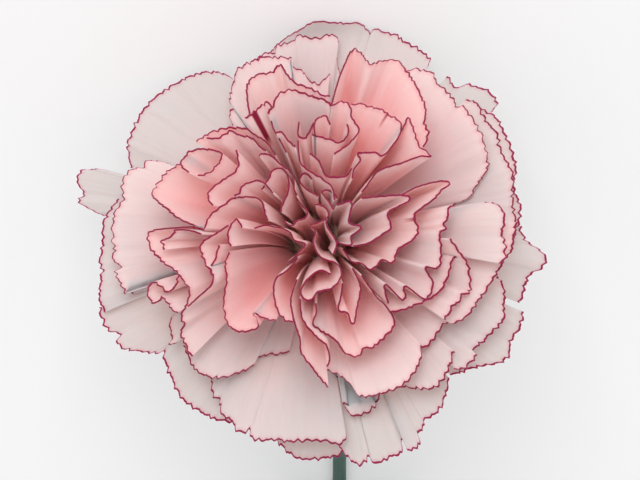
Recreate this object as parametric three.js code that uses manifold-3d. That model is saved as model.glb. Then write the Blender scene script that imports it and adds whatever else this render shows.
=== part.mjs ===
// A cut carnation with toothed, ruffled petals, lying on a level surface with its bloom tipped up.
// Millimetres, +Z up. The origin is on the surface, under the heel where the stem starts to rise to
// the bloom. The stem runs back along +Y and the bloom faces -Y and upwards.
import * as THREE from "three";
import { mergeVertices } from "three/addons/utils/BufferGeometryUtils.js";
import Module from "manifold-3d";

const wasm = await Module();
wasm.setup();

const { sin, cos, tan, abs, atan2, max, min, round, PI } = Math;
const DEG = PI / 180;

// Stem
const NECK_TILT = 40 * DEG; // how far the bloom's axis is tipped up from the stem's line
const NECK_TURN = 10.5 * DEG; // how far the bloom's axis turns to one side of the stem
const NECK_BEND = 32; // radius of the neck's bend
const HEEL = 2; // from the origin forward to the start of the bend
const STEM_LENGTH = 150; // from the origin back to the cut
const STEM_RADIUS = 1.2; // under the bloom
const STEM_RADIUS_CUT = 1.8; // at the cut
const STEM_SIDES = 12;
const JOINT_RADIUS = 2.4; // the swollen joints that carry the leaves
const JOINT_LENGTH = 5; // half length of a swelling
const JOINT_STEPS = 3; // sections on each side of a swelling's middle
const JOINTS = { upper: 62, lower: 128 }; // places of the swollen joints, back from the origin
const CUT_SLANT = 50 * DEG;
const RECEPTACLE_RADIUS = 3; // the stem's end under the calyx
const RECEPTACLE_LENGTH = 4;
const HEEL_FLAT = 8; // from the origin back to the first section
const NECK_STEPS = 9;

// Calyx and epicalyx: outlines from the base up, as [radius, height] on the bloom's axis
const CALYX = {
  outline: [[3.2, 0], [4.6, 1], [5.8, 3.5], [6.6, 8], [7.1, 14], [7.5, 19], [7.9, 22.5]],
  floor: 1.6, wall: 0.8, tips: 5, facets: 8, tipHeight: 3.4, tipLean: 1.2,
};
const EPICALYX = {
  outline: [[3.2, -1.2], [4.6, -0.7], [5.75, 0.9], [6.9, 3.4]],
  floor: -0.4, wall: 0.7, tips: 4, facets: 8, tipHeight: 4.6, tipLean: 0.8,
};
const NOTCH = 0.5; // height of the notches between the tips over the outline's end

// Fits and sheets
const CLEARANCE = 0.35; // between pieces that touch on the real flower
const HEAD_CLEARANCE = 0.6; // between the stem's end and the turned head
const SURFACE_GAP = 0.05; // least height of a petal over the surface
const PETAL_THICKNESS = 0.7;
const LEAF_THICKNESS = 0.8;

// Petals. Each starts at the throat, where its narrow claw turns into its blade.
const THROAT = { height: 23, angle: 6 * DEG };
const TOOTH = 0.4; // half height of the teeth at a petal's margin
const CLAW = { width: 0.3, over: 12 }; // a claw's share of the fan's width, and where it ends
const SOFTNESS = 1.2; // how gently a petal bends to lie along the surface
const FACET_WIDTH = 2.7; // width of a facet along a margin
const FEWEST_COLUMNS = 4;
const MARGIN_STEPS = 8; // points on each stretch of a margin, to measure it by
const FINEST = 0.02; // detail smaller than this is dropped where petals fuse

// The packed claws and the heart's base, above the calyx, as [radius, height]
const HEART = [[7.6, 26.6], [10, 28.4], [12.5, 29.6], [15, 33.5], [14, 36.5], [11, 39], [6, 40]];
const HEART_SIDES = 16;

// Rings of petals from the outside in. Droop is what the second bend adds, in degrees, root the radius
// at the throat, bend the length of the first bend, start where the blade leaves the heart, columns
// the most facets across a petal and rows the facets along it.
// Each petal is the points of its margin, placed by eye from the photo. A point is its azimuth, the
// petal's angle from the bloom's axis after the first bend, and its distance from the throat, in
// degrees, degrees and mm.
const RINGS = [
  {
    droop: 22, root: 6.2, bend: 11, start: 8, columns: 15, rows: 2,
    petals: [
      [[151.9, 84, 33.3], [147.5, 84, 35], [140.7, 84, 36.2], [135.5, 84, 36.5], [129.5, 84, 36.2],
       [123, 84, 34.8], [117.5, 84, 33.5], [112.3, 84, 30.7], [111.4, 84, 27.8]],
      [[102.8, 84, 30.8], [98.5, 84, 31.6], [95, 84, 33], [91.1, 84, 34.9], [87.6, 84, 37], [84.5, 84,
       39], [81.8, 84, 39], [79.3, 84, 38.5], [75.9, 84, 37.6], [71.9, 84, 37], [69.1, 84, 34.6], [68,
       84, 36], [64, 84, 35.6], [61.4, 84, 35.5], [59, 84, 34.9], [54.9, 84, 34.7], [51, 84, 34.2], [50,
       84, 32.6]],
      [[44.6, 87, 33.4], [40.5, 87, 33.1], [38.5, 87, 34.8], [36.1, 87, 35.4], [33, 87, 36.4], [29.5,
       87, 36.1], [28.4, 87, 34.3]],
      [[31.7, 82, 33.3], [27.9, 82, 34.1], [25.9, 82, 34.7], [19.4, 82, 34.1], [14.8, 82, 34.1], [10.3,
       82, 33.6], [6.8, 82, 32.6], [3.6, 82, 32.7], [-3.1, 82, 32.9], [-6.5, 82, 32.1], [-11.5, 82,
       31.5]],
      [[354.9, 88, 32.5], [351, 88, 33.5], [348.5, 88, 35.8], [346.6, 88, 37], [343.9, 88, 36.4],
       [341.5, 88, 34.7], [337.7, 88, 34.2], [333.4, 88, 34.1]],
      [[331.3, 84, 35.7], [327.1, 84, 36.2], [323.1, 84, 35.9], [320.2, 84, 36.6], [317.3, 84, 36.5],
       [312.6, 84, 33.9], [308.7, 84, 32.4], [305.5, 84, 31.5]],
      [[304.6, 80, 31.9], [300.4, 80, 34.2], [296.5, 80, 35.4], [292.4, 80, 35.3], [291.5, 80, 36.3],
       [289.4, 80, 37.1], [288.8, 80, 38.4], [287, 80, 39.1], [285.5, 80, 38.3], [286, 80, 35.2],
       [283.8, 80, 38.5], [281.7, 80, 38.7], [277, 80, 39.1], [276.2, 80, 37.7], [273.7, 80, 38.9],
       [270.9, 80, 37.1], [268.9, 80, 35.2]],
      [[269.7, 88, 35], [266.9, 88, 36.2], [263, 88, 36.6], [257.9, 88, 36.4], [253.1, 88, 35], [250.7,
       88, 33.4]],
      [[239.4, 84, 33.2], [232.7, 84, 34.5], [228.1, 84, 34.5], [222.2, 84, 34.5], [219.7, 84, 34.1],
       [217.6, 84, 33], [215.2, 84, 32.8], [213, 84, 32.1], [210.7, 84, 31.9], [209.1, 84, 30.3]],
      [[209.6, 85, 30.6], [207.7, 85, 32.7], [205, 85, 34.8], [202.4, 85, 36.5], [199.9, 85, 37.4],
       [198.4, 85, 36.3], [195.9, 85, 37.9], [193.4, 85, 38], [190, 85, 37.8]],
      [[192.2, 80, 37.2], [188.8, 80, 37.5], [185.7, 80, 36.8], [181.9, 80, 36], [177.8, 80, 36.2],
       [174.7, 80, 35.6], [170.1, 80, 35.3], [166, 80, 34.7], [161.8, 80, 33.6]],
      [[165.8, 88, 36.1], [164.3, 88, 39.3], [163.1, 88, 41.3], [162.5, 88, 41.6], [160.7, 88, 41],
       [159.5, 88, 42.2], [157.6, 88, 43], [156, 88, 42.6], [155.2, 88, 41.5], [154.2, 88, 37.3],
       [154.3, 88, 33.3]],
    ],
  },
  {
    droop: 20, root: 5.8, bend: 11, start: 9, columns: 16, rows: 2,
    petals: [
      [[227.8, 76, 29.6], [229.6, 76, 31], [231.6, 76, 32.2], [233.2, 76, 32], [235.9, 76, 33.9],
       [239.6, 76, 34.2], [241.6, 76, 35.5], [243.7, 76, 35.6], [245.1, 76, 34.6], [246.9, 76, 35.9],
       [252.6, 76, 35.2], [259.3, 76, 34.9], [265.8, 76, 35], [269.7, 76, 35.7], [271.5, 76, 34.5],
       [270.8, 76, 30.1]],
      [[214.6, 68, 29.1], [219.1, 68, 30.2], [223.4, 68, 30.9], [228.8, 68, 30.3], [232.6, 68, 29],
       [234.8, 68, 27.9], [239, 68, 25.5], [239.7, 68, 23.4], [243.5, 68, 22.2], [251.4, 68, 20.6]],
      [[147.2, 72, 26.9], [148.2, 72, 29.2], [149.7, 72, 31.1], [152.1, 72, 31.1], [153.8, 72, 32.8],
       [158.8, 72, 33.6], [163, 72, 32.7], [166.7, 72, 33.6], [172, 72, 34], [177.4, 72, 33.7], [180.3,
       72, 34.1], [182.9, 72, 33], [184.1, 72, 34], [186.8, 72, 33.7], [191.1, 72, 32.9], [188.7, 72,
       32.2], [186.2, 72, 30.6], [184.1, 72, 28.3], [182, 72, 26]],
      [[104.6, 77, 30.2], [99.2, 77, 31.5], [96.3, 77, 30.9], [94.3, 77, 32.2], [89.7, 77, 32.4], [88.7,
       77, 33.4], [85.5, 77, 32.9], [82, 77, 32.4], [79.1, 77, 33], [76.7, 77, 32.5], [76.7, 77, 29.1],
       [74.6, 77, 26.2], [74.9, 77, 24.6]],
      [[120.8, 69, 22.1], [118.4, 69, 24.6], [116, 69, 24.9], [115.8, 69, 26.3], [110.9, 69, 29.1],
       [108, 69, 30.6], [101.5, 69, 30.6], [95.7, 69, 30.2], [90.9, 69, 29.7], [91, 69, 28.3], [87.8,
       69, 27.3], [85.9, 69, 25.9], [82.2, 69, 24.7], [79.5, 69, 25.4], [77.4, 69, 26.4]],
      [[52.8, 70, 30.7], [49, 70, 31.9], [45.2, 70, 32.7], [43.2, 70, 32.1], [37.2, 70, 31.8], [32.8,
       70, 31.6], [31.1, 70, 32.4], [28.5, 70, 31.9], [22.3, 70, 32.1], [19.2, 70, 31.7], [14.3, 70,
       31.2], [10.6, 70, 30.2], [7.5, 70, 28.1], [3.5, 70, 26.2], [2.6, 70, 24.1], [1, 70, 22.4]],
      [[33.6, 76, 32.7], [30.7, 76, 33.9], [27.1, 76, 33.4], [20.5, 76, 33.7], [15.5, 76, 33.2], [7.7,
       76, 33.6], [0.7, 76, 32.7], [-6.7, 76, 33]],
      [[337.4, 74, 30.8], [335.2, 74, 32.8], [331.4, 74, 33.6], [326.7, 74, 34.7], [322.7, 74, 34.3],
       [318.4, 74, 33.8], [315.1, 74, 33.3], [313.5, 74, 34.4], [308.8, 74, 33.8], [307, 74, 31.9]],
      [[310.9, 70, 31.6], [305.9, 70, 33.1], [300.6, 70, 34], [297, 70, 32.9], [294.2, 70, 31.6],
       [290.7, 70, 30.2]],
      [[283.8, 73, 30], [281.3, 73, 31.3], [278.3, 73, 31.8], [274.7, 73, 31.7], [272.6, 73, 29.4],
       [272.9, 73, 26.1]],
      [[269.5, 72, 23.6], [273.5, 72, 25.6], [273.6, 72, 27.6], [272.6, 72, 29.6], [277.1, 72, 29.8],
       [281.9, 72, 30.7], [284.4, 72, 29.7]],
      [[185.8, 78, 32.7], [190, 78, 32.2], [190.7, 78, 30.5], [191, 78, 28.9], [192.9, 78, 27.2],
       [195.9, 78, 25.5]],
      [[204.4, 72, 25.9], [203.4, 72, 27], [205.2, 72, 28.3], [209.7, 72, 29.4], [211, 72, 30.6],
       [211.9, 72, 29.4]],
    ],
  },
  {
    droop: 18, root: 5.2, bend: 12, start: 12, columns: 16, rows: 2,
    petals: [
      [[351.8, 64, 36.4], [344, 64, 35.9], [339.9, 64, 34.6], [332.4, 64, 33.5], [322.2, 64, 32.4],
       [317.4, 64, 30.9], [315.5, 64, 29.4], [307.1, 64, 29.8], [304, 64, 29.4], [301.4, 64, 28.2],
       [301.8, 64, 27.3], [296.8, 64, 27.3], [292.1, 64, 24.5]],
      [[304.7, 62, 29.8], [301.6, 62, 31.6], [298.1, 62, 32.8], [293, 62, 33.6], [287.1, 62, 33.4],
       [279.4, 62, 32.6], [277.6, 62, 30.3], [274.3, 62, 27.7], [268.9, 62, 25.9]],
      [[345.4, 57, 25.9], [348.3, 57, 25.9], [349.9, 57, 26.1], [352.4, 57, 27.6], [355.6, 57, 28.6],
       [357.4, 57, 30.6], [357.6, 57, 32.9], [356.4, 57, 34.8], [353.1, 57, 36.2], [350.2, 57, 36.3],
       [347.5, 57, 35.8], [345.2, 57, 36.5], [340.9, 57, 37], [338.7, 57, 36.4]],
      [[342.9, 44.1, 30.2], [339, 49.8, 30.7], [336.4, 54.7, 31.1], [332.7, 57.7, 31.3], [328.6, 60.4,
       31.5], [326.6, 57.8, 31.3], [323.6, 57.9, 31.3], [321.1, 56.6, 31.2], [316.1, 56.9, 31.3]],
      [[68.2, 27.4, 29], [69, 39.2, 30.3], [69.4, 49.3, 31.3], [68.9, 63.4, 32.4], [61.9, 55, 31.8],
       [59.4, 59.4, 32.1], [57.3, 65.1, 32.5], [54.6, 66.4, 32.6], [50, 61.6, 32.3], [42.4, 55.4, 31.8],
       [35.7, 50.7, 31.4], [30.9, 45.2, 30.9], [26.6, 43.8, 30.8], [22.1, 38.5, 30.2]],
      [[110.9, 25.6, 30], [107.9, 35, 31.1], [106.2, 40.1, 31.6], [102.2, 43, 32], [96, 41.9, 31.8],
       [92.3, 44.7, 32.1], [89.8, 39.2, 31.6], [86.5, 34.8, 31.1], [82, 32.7, 30.8], [74.9, 29.3, 30.5],
       [69.7, 28.3, 30.3]],
      [[143.7, 37.2, 30.1], [148.9, 38.6, 30.2], [153.9, 43.9, 30.8], [161.2, 48.4, 31.2], [163.5, 48.3,
       31.2], [167.2, 41.9, 30.6], [174.1, 32.6, 29.6], [180.8, 22.6, 28.5]],
      [[182.4, 21.7, 29], [179.4, 26.6, 29.6], [177.5, 39.4, 30.9], [177.8, 47.3, 31.7], [183, 47.1,
       31.7], [189.6, 42.6, 31.3], [196.6, 37.7, 30.8], [204, 36, 30.6], [206.9, 36.9, 30.7], [209.7,
       41, 31.1]],
      [[194.3, 39.8, 29.7], [197.5, 41.4, 29.9], [200.1, 45, 30.2], [199.9, 50.2, 30.7], [194.9, 53.5,
       31], [193.8, 57.4, 31.3], [196, 61.5, 31.6], [199, 61.2, 31.6], [200.3, 56.1, 31.2], [199.8,
       53.9, 31], [204.6, 51.8, 30.9], [208.3, 50.7, 30.8]],
      [[208.5, 41.5, 29.9], [210, 49.6, 30.7], [212.9, 52.1, 30.9], [213.8, 56.8, 31.3], [216.7, 58.7,
       31.4], [221.4, 61.7, 31.6]],
      [[356.3, 45.5, 29.6], [353.7, 43.5, 29.5], [351.3, 44, 29.5], [349.1, 42.3, 29.3], [346.8, 43.4,
       29.5], [344.3, 41.1, 29.2], [338.9, 43.1, 29.4], [330.9, 44.2, 29.5], [328.7, 38.5, 29], [324.2,
       44.8, 29.6], [317.6, 45.3, 29.6], [317, 34.7, 28.6], [311.5, 38.8, 29], [311.5, 28.8, 28],
       [305.9, 34.6, 28.6]],
      [[338.5, 53, 29.6], [335.8, 50.4, 29.4], [331.5, 50.8, 29.5], [326.9, 51.3, 29.5], [321.3, 50.3,
       29.4], [314.7, 45.7, 29], [307.4, 41.5, 28.6], [303.7, 39.2, 28.4]],
      [[186.5, 37.9, 32], [182.8, 38, 32], [182.5, 34.8, 31.7], [180, 30.9, 31.2], [182.1, 25.2, 30.6],
       [185.3, 21.1, 30.1]],
      [[113.5, 22.5, 31.4], [109.7, 22.7, 31.5], [104.2, 23.4, 31.5], [101, 24.6, 31.7], [98.5, 22.6,
       31.4], [101.1, 20.3, 31.2]],
    ],
  },
  {
    droop: 20, root: 4.4, bend: 12, start: 15, columns: 14, rows: 2,
    petals: [
      [[202.2, 15.3, 28.7], [206.3, 18.8, 29.1], [215, 22.9, 29.6], [221.9, 30.6, 30.4], [226.3, 34.5,
       30.8], [230.4, 36.7, 31.1], [235.5, 36, 31], [241.8, 32, 30.6], [240.6, 29.1, 30.2], [237.5,
       27.2, 30], [243, 27.2, 30], [249.9, 26.6, 30]],
      [[184.7, 11.1, 29.4], [187.5, 16, 29.9], [190.2, 22.7, 30.7], [193.8, 24.4, 30.9], [201.2, 24.7,
       30.9], [208.6, 24.3, 30.9], [212.1, 27, 31.2], [211.8, 33.3, 31.9], [211.3, 39.3, 32.6]],
      [[182.8, 20.6, 30.5], [179.1, 19.1, 30.3], [175.6, 17.8, 30.1], [168.3, 12.7, 29.5], [163.1, 9.8,
       29.2], [159.9, 6.1, 28.8], [156.8, -0.4, 28.1], [165.6, -3.9, 27.7], [189.1, -5.7, 27.5]],
      [[129.1, 17.1, 30], [136.2, 12.5, 29.5], [144.5, 12.9, 29.6], [151.9, 15.8, 29.9], [161.3, 19.4,
       30.3], [168.6, 16.7, 30]],
      [[160.5, 7.9, 29.5], [156.1, 6.4, 29.4], [148.8, 5.9, 29.3], [137.6, 2, 28.9], [135.9, -1.6,
       28.5], [139.7, -5.8, 28]],
      [[151.9, 32.3, 30.6], [149.8, 36.8, 31.1], [145.3, 37.7, 31.2], [140.9, 34.4, 30.8], [136.9, 27,
       30], [136, 22.7, 29.5], [140.8, 21.8, 29.4], [148.5, 23.5, 29.6], [152.4, 27.4, 30.1]],
      [[137.8, 35.5, 31], [134.5, 34.6, 30.9], [127.3, 31, 30.5], [121.7, 28, 30.1], [115.9, 23.2,
       29.6], [113.7, 19, 29.1], [109.5, 14, 28.6], [107.1, 7.7, 27.9]],
      [[134.1, 29.9, 31.5], [130.4, 25.8, 31.1], [123.9, 24.7, 30.9], [121.5, 20.9, 30.5], [116.3, 16.6,
       30], [115, 11.7, 29.4], [112.6, 9, 29.1]],
      [[96.8, 6.2, 28.2], [100.9, 15.5, 29.3], [100.7, 21.7, 30], [96.5, 28.4, 30.8], [93.5, 31, 31.1],
       [88.3, 31.9, 31.2], [83.6, 30.7, 31], [77.1, 29, 30.8], [71.5, 28.2, 30.8], [67.6, 26.2, 30.5]],
      [[58.7, 30.1, 30.4], [54, 32.7, 30.6], [50.5, 33, 30.7], [45.1, 35.1, 30.9], [41.6, 35, 30.9],
       [36.4, 36.3, 31], [32.3, 33.1, 30.7], [29.3, 28.3, 30.2], [26.6, 22.3, 29.5], [30.7, 20.4, 29.3],
       [34.7, 17.3, 28.9], [37.9, 14.7, 28.6], [33, 13.4, 28.5], [30.2, 8.6, 28], [24, 5.1, 27.6]],
      [[32.4, 33.7, 30.8], [34.4, 37.3, 31.1], [35.5, 39.8, 31.4], [30.5, 38.8, 31.3], [23, 36.4, 31.1],
       [16.8, 38.4, 31.3], [18.1, 35, 30.9], [18.3, 26.5, 30], [19.4, 17.8, 29], [15.8, 12.5, 28.4],
       [9.2, 6.9, 27.8]],
      [[67.4, 25.8, 30.5], [63.6, 29, 30.8], [57.8, 28.1, 30.7], [54.6, 24.5, 30.3], [47, 21.4, 30],
       [46.7, 16, 29.3], [48.1, 12.4, 28.9], [51.8, 7.9, 28.4]],
      [[2.4, 24.3, 27.4], [5.8, 33.2, 28.2], [7.2, 44, 29.3], [6, 48.5, 29.7], [3.3, 43.9, 29.3], [-1.4,
       38.7, 28.8], [-5.3, 34.1, 28.3], [-9, 31, 28], [-15.9, 32.9, 28.2], [-21.7, 30.8, 28], [-29.1,
       26.9, 27.6], [-36.8, 27.4, 27.7], [-38.2, 23.1, 27.2], [-43.7, 22.1, 27.1], [-47.9, 20.5, 27],
       [-48.4, 16.2, 26.5], [-52.5, 12.3, 26.1], [-49.5, 5.7, 25.5]],
      [[4.6, 7.8, 26.8], [2.6, 17.6, 27.8], [1.6, 25.7, 28.7], [-1.4, 27.5, 28.9], [-4.5, 22.9, 28.4],
       [-9, 18.3, 27.9], [-17.8, 20.2, 28.1], [-22.3, 18.8, 27.9], [-29, 15.8, 27.6], [-35.5, 11.9,
       27.2], [-41.5, 7.6, 26.8]],
      [[271.6, 22, 27.7], [270.8, 25.7, 28.1], [268.3, 30, 28.5], [273.2, 34.8, 29], [277.2, 38.7,
       29.4], [279.2, 44.6, 30], [283.6, 48.2, 30.3], [286.3, 45.7, 30.1], [290.1, 46.8, 30.2], [296.6,
       45.6, 30.1], [300.7, 44.6, 30], [303.3, 42, 29.7], [304.3, 35.7, 29.1], [303.9, 30, 28.5],
       [305.6, 20, 27.5]],
      [[292.5, 17.5, 27.8], [286.3, 22.8, 28.4], [283.4, 26.7, 28.8], [287, 29.2, 29.1], [286.5, 33,
       29.5], [288.2, 33.6, 29.5], [292.5, 28.8, 29], [300.6, 22.1, 28.3], [304.2, 14.3, 27.5]],
      [[260, 0.9, 27.2], [249.1, 7.6, 27.9], [243.5, 11.4, 28.3], [244.6, 17.1, 28.9], [249.5, 23.1,
       29.6], [254.6, 26.4, 29.9], [258.8, 26.9, 30]],
      [[260.3, 10.3, 28.2], [256.9, 17.7, 29], [258.8, 25.4, 29.8], [262.1, 33.7, 30.8], [262.3, 38.3,
       31.3], [266, 44.4, 31.9], [268.2, 49.3, 32.4], [270.2, 53.6, 32.7]],
      [[262.4, 18.8, 28.5], [263.3, 25.9, 29.3], [267.7, 32, 30], [272.8, 37.9, 30.6], [273.1, 43.3,
       31.1], [271.4, 45.9, 31.4]],
      [[190.5, 5.1, 29.2], [181.1, 6.2, 29.3], [185.9, 9.4, 29.7], [191.9, 11.4, 29.9], [201.1, 12.2,
       30]],
      [[195.2, 17, 29.5], [201, 20.1, 29.8], [204.7, 24, 30.3], [208.5, 25.4, 30.4]],
      [[100.3, 12.9, 30.1], [96.5, 13.1, 30.1], [92.5, 8.9, 29.6], [87.1, 6.2, 29.3]],
    ],
  },
  {
    droop: 18, root: 3.2, bend: 12, start: 15, columns: 8, rows: 1,
    petals: [
      [[293.6, -9, 26.3], [299, -5.8, 26.6], [284.9, -1.7, 27], [286, 5.8, 27.8], [296.5, 11.7, 28.4],
       [295, 16.5, 29], [285.5, 19.8, 29.3], [275, 19.8, 29.3], [269.6, 22.4, 29.6], [264.7, 21.3,
       29.5], [263.6, 17.8, 29.1], [269.6, 13.3, 28.6], [281.1, 11.3, 28.4], [288, 14, 28.7]],
      [[119.7, 13, 29.1], [116.1, 12.7, 29.1], [110.6, 9.7, 28.8], [105.8, 5.1, 28.2], [98, 1.1, 27.8],
       [95.3, -3.1, 27.4], [100, -6.4, 27], [97.6, -9.7, 26.7]],
      [[143.8, 3.2, 27.5], [129.9, 3.4, 27.5], [119, 5.1, 27.7], [109.6, 5, 27.7], [104.1, 1.8, 27.4],
       [106.5, -3.1, 26.9], [126.9, -7.5, 26.4], [173.6, -8.1, 26.4]],
      [[193.2, 4.9, 27.7], [195.8, -0.7, 27.1], [216.2, -5, 26.7], [236.6, -5.6, 26.6], [250.2, -3.1,
       26.9], [270.7, -1.8, 27], [261.1, 1.7, 27.3], [249.1, 7.4, 28]],
      [[0.4, -0.2, 27.2], [1, 6, 27.8], [-22, 5.7, 27.8], [-23.9, 11.1, 28.4], [-35.2, 8.7, 28.1],
       [-42.6, 10.7, 28.3], [-49.5, 4.3, 27.6]],
      [[85.3, 14.5, 28.7], [84.7, 8.5, 28.1], [81.3, 3.9, 27.6], [64.9, 1.1, 27.3], [43.3, 0.4, 27.2],
       [31.4, 0.7, 27.2], [9.6, -1, 27.1]],
      [[72.3, 16.5, 29], [74.6, 21, 29.5], [73, 24.1, 29.8], [69.3, 25.5, 30], [64.8, 22.7, 29.7]],
      [[74.8, 17.1, 29], [62.9, 16.4, 29], [53.2, 17.4, 29.1], [51.6, 21.9, 29.6], [55.4, 25.3, 30]],
      [[74.3, 9.8, 27.7], [63.3, 7.3, 27.4], [57, 5, 27.2], [45.2, 3.3, 27], [30.8, 8.4, 27.5], [32.6,
       12.8, 28]],
      [[84.8, 23.1, 29.1], [85.5, 17.9, 28.5], [81.7, 16.1, 28.3], [78.8, 17.4, 28.5], [75.3, 23.3,
       29.1]],
      [[330.6, -4.2, 27.5], [318.8, -1.7, 27.7], [311, 4.6, 28.4], [306.9, 6.6, 28.6], [299.3, 8.3,
       28.8]],
    ],
  },
];

// Leaves: a clasping base, then a narrow channelled blade that bends away from the stem.
// Opening is the share of the blade over which the clasp opens, and taper the power of its outline.
const LEAF = {
  columns: 6, rows: 12, steps: 60, sheath: 5, clasp: 56 * DEG, opening: 0.25,
  width: 5.6, tipWidth: 1.2, taper: 2.2, channel: 9,
};

// Each leaf is [joint, elevation, length, spread, curl]: elevation turns it round the stem from
// level, and spread and curl are its bends, in degrees
const LEAVES = {
  leaf_upper_right: ["upper", 27, 36, 26, 20],
  leaf_upper_left: ["upper", 153, 34, 30, 25],
  leaf_lower_right: ["lower", 34, 58, 24, 45],
  leaf_lower_left: ["lower", 150, 62, 22, 50],
};

const FINISH = {
  stem: { color: 0x4f6a5c, roughness: 0.6, metalness: 0 },
  leaf: { color: 0x5d7a6b, roughness: 0.65, metalness: 0 },
  calyx: { color: 0x6f8f5f, roughness: 0.6, metalness: 0 },
  petal: { color: 0xe9c6bf, roughness: 0.7, metalness: 0 },
};

// A closed mesh as a solid, and a solid as a mesh's geometry
function solidOf(geometry) {
  const bare = new THREE.BufferGeometry().setAttribute("position", geometry.getAttribute("position"));
  bare.setIndex(geometry.index);
  const merged = mergeVertices(bare, 1e-4);
  return new wasm.Manifold(
    new wasm.Mesh({
      numProp: 3,
      vertProperties: merged.attributes.position.array,
      triVerts: new Uint32Array(merged.index.array),
    }),
  );
}

function geometryOf(solid) {
  const mesh = solid.getMesh();
  const geometry = new THREE.BufferGeometry();
  geometry.setAttribute("position", new THREE.BufferAttribute(mesh.vertProperties, mesh.numProp));
  geometry.setIndex(new THREE.BufferAttribute(mesh.triVerts, 1));
  geometry.computeVertexNormals();
  return geometry;
}

function indexed(points, faces) {
  const geometry = new THREE.BufferGeometry().setFromPoints(points);
  geometry.setIndex(faces);
  geometry.computeVertexNormals();
  return geometry;
}

// A closed skin over rings of points, all with the same count, with a flat cap on each end
function skin(rings) {
  const count = rings[0].length;
  const faces = [];
  for (let i = 0; i + 1 < rings.length; i++) {
    for (let j = 0; j < count; j++) {
      const a = i * count + j;
      const b = i * count + ((j + 1) % count);
      faces.push(a, b, b + count, a, b + count, a + count);
    }
  }
  const last = (rings.length - 1) * count;
  for (let j = 1; j + 1 < count; j++) {
    faces.push(0, j + 1, j);
    faces.push(last, last + j, last + j + 1);
  }
  return indexed(rings.flat(), faces);
}

// A thin closed blade on surface(u, v), with u from -1 to 1 across and v from 0 to 1 from root to
// tip, and half of the thickness on each side. Both faces are split along the same diagonals.
function blade(surface, columns, rows, thickness) {
  const step = 1e-3;
  const front = [];
  const back = [];
  for (let i = 0; i <= rows; i++) {
    for (let j = 0; j <= columns; j++) {
      const u = (2 * j) / columns - 1;
      const v = i / rows;
      const point = surface(u, v);
      const across = surface(min(u + step, 1), v).sub(surface(max(u - step, -1), v));
      const along = surface(u, min(v + step, 1)).sub(surface(u, max(v - step, 0)));
      const normal = across.cross(along).normalize().multiplyScalar(thickness / 2);
      front.push(point.clone().add(normal));
      back.push(point.clone().sub(normal));
    }
  }
  const width = columns + 1;
  const far = front.length;
  const faces = [];
  const quad = (a, b, c, d) => faces.push(a, b, c, a, c, d);
  for (let i = 0; i < rows; i++) {
    for (let j = 0; j < columns; j++) {
      const a = i * width + j;
      const b = a + 1;
      const c = b + width;
      const d = a + width;
      quad(a, b, c, d);
      faces.push(far + a, far + c, far + b, far + a, far + d, far + c);
    }
    const left = i * width;
    const right = left + columns;
    quad(left, left + width, far + left + width, far + left);
    quad(right, far + right, far + right + width, right + width);
  }
  for (let j = 0; j < columns; j++) {
    const top = rows * width + j;
    quad(j + 1, j, far + j, far + j + 1);
    quad(top, top + 1, far + top + 1, far + top);
  }
  return indexed([...front, ...back], faces);
}

// A cup with pointed tips round its mouth, from its outline on the bloom's axis
function cup({ outline, floor, wall, tips, facets, tipHeight, tipLean }) {
  const columns = tips * facets;
  const circle = (radius, height) =>
    Array.from({ length: columns }, (_, j) => {
      const angle = (2 * PI * j) / columns;
      return new THREE.Vector3(radius * cos(angle), radius * sin(angle), height);
    });
  const [mouthRadius, mouthHeight] = outline.at(-1);
  const edge = (inset) =>
    Array.from({ length: columns }, (_, j) => {
      const angle = (2 * PI * j) / columns;
      const share = 1 - abs((2 * (j % facets)) / facets - 1);
      const radius = mouthRadius + tipLean * share - inset;
      const height = mouthHeight + NOTCH + tipHeight * share;
      return new THREE.Vector3(radius * cos(angle), radius * sin(angle), height);
    });
  const inner = outline.filter(([, height]) => height > floor + wall).reverse();
  return skin([
    ...outline.map(([radius, height]) => circle(radius, height)),
    edge(0),
    edge(wall),
    ...inner.map(([radius, height]) => circle(radius - wall, height)),
    circle(inner.at(-1)[0] - 2 * wall, floor),
  ]);
}

const smooth = (x) => {
  const t = min(max(x, 0), 1);
  return t * t * (3 - 2 * t);
};

// The stem's centre stands over its bottom facet, which lies on the surface
const facetHeight = (radius) => radius * cos(PI / STEM_SIDES);

// Where the head, which is the calyx and bloom, stands: its own z runs up the bloom's axis
const headBase = new THREE.Vector3(
  0,
  -HEEL - NECK_BEND * sin(NECK_TILT),
  facetHeight(STEM_RADIUS) + NECK_BEND * (1 - cos(NECK_TILT)),
);
const headTurn = new THREE.Matrix4()
  .makeRotationZ(NECK_TURN)
  .multiply(
    new THREE.Matrix4().makeBasis(
      new THREE.Vector3(-1, 0, 0),
      new THREE.Vector3(0, -sin(NECK_TILT), -cos(NECK_TILT)),
      new THREE.Vector3(0, -cos(NECK_TILT), sin(NECK_TILT)),
    ),
  );
const upInHead = new THREE.Vector3(0, 0, 1).applyMatrix4(headTurn.clone().invert());

// A petal that would reach below the surface bends and lies along it
function restOnSurface(point) {
  const least = PETAL_THICKNESS / 2 + SURFACE_GAP;
  const height = point.dot(upInHead) + headBase.z;
  if (height < least + SOFTNESS) {
    const below = (least + SOFTNESS - height) / SOFTNESS;
    point.addScaledVector(upInHead, least + SOFTNESS / (1 + below) - height);
  }
  return point;
}

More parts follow.
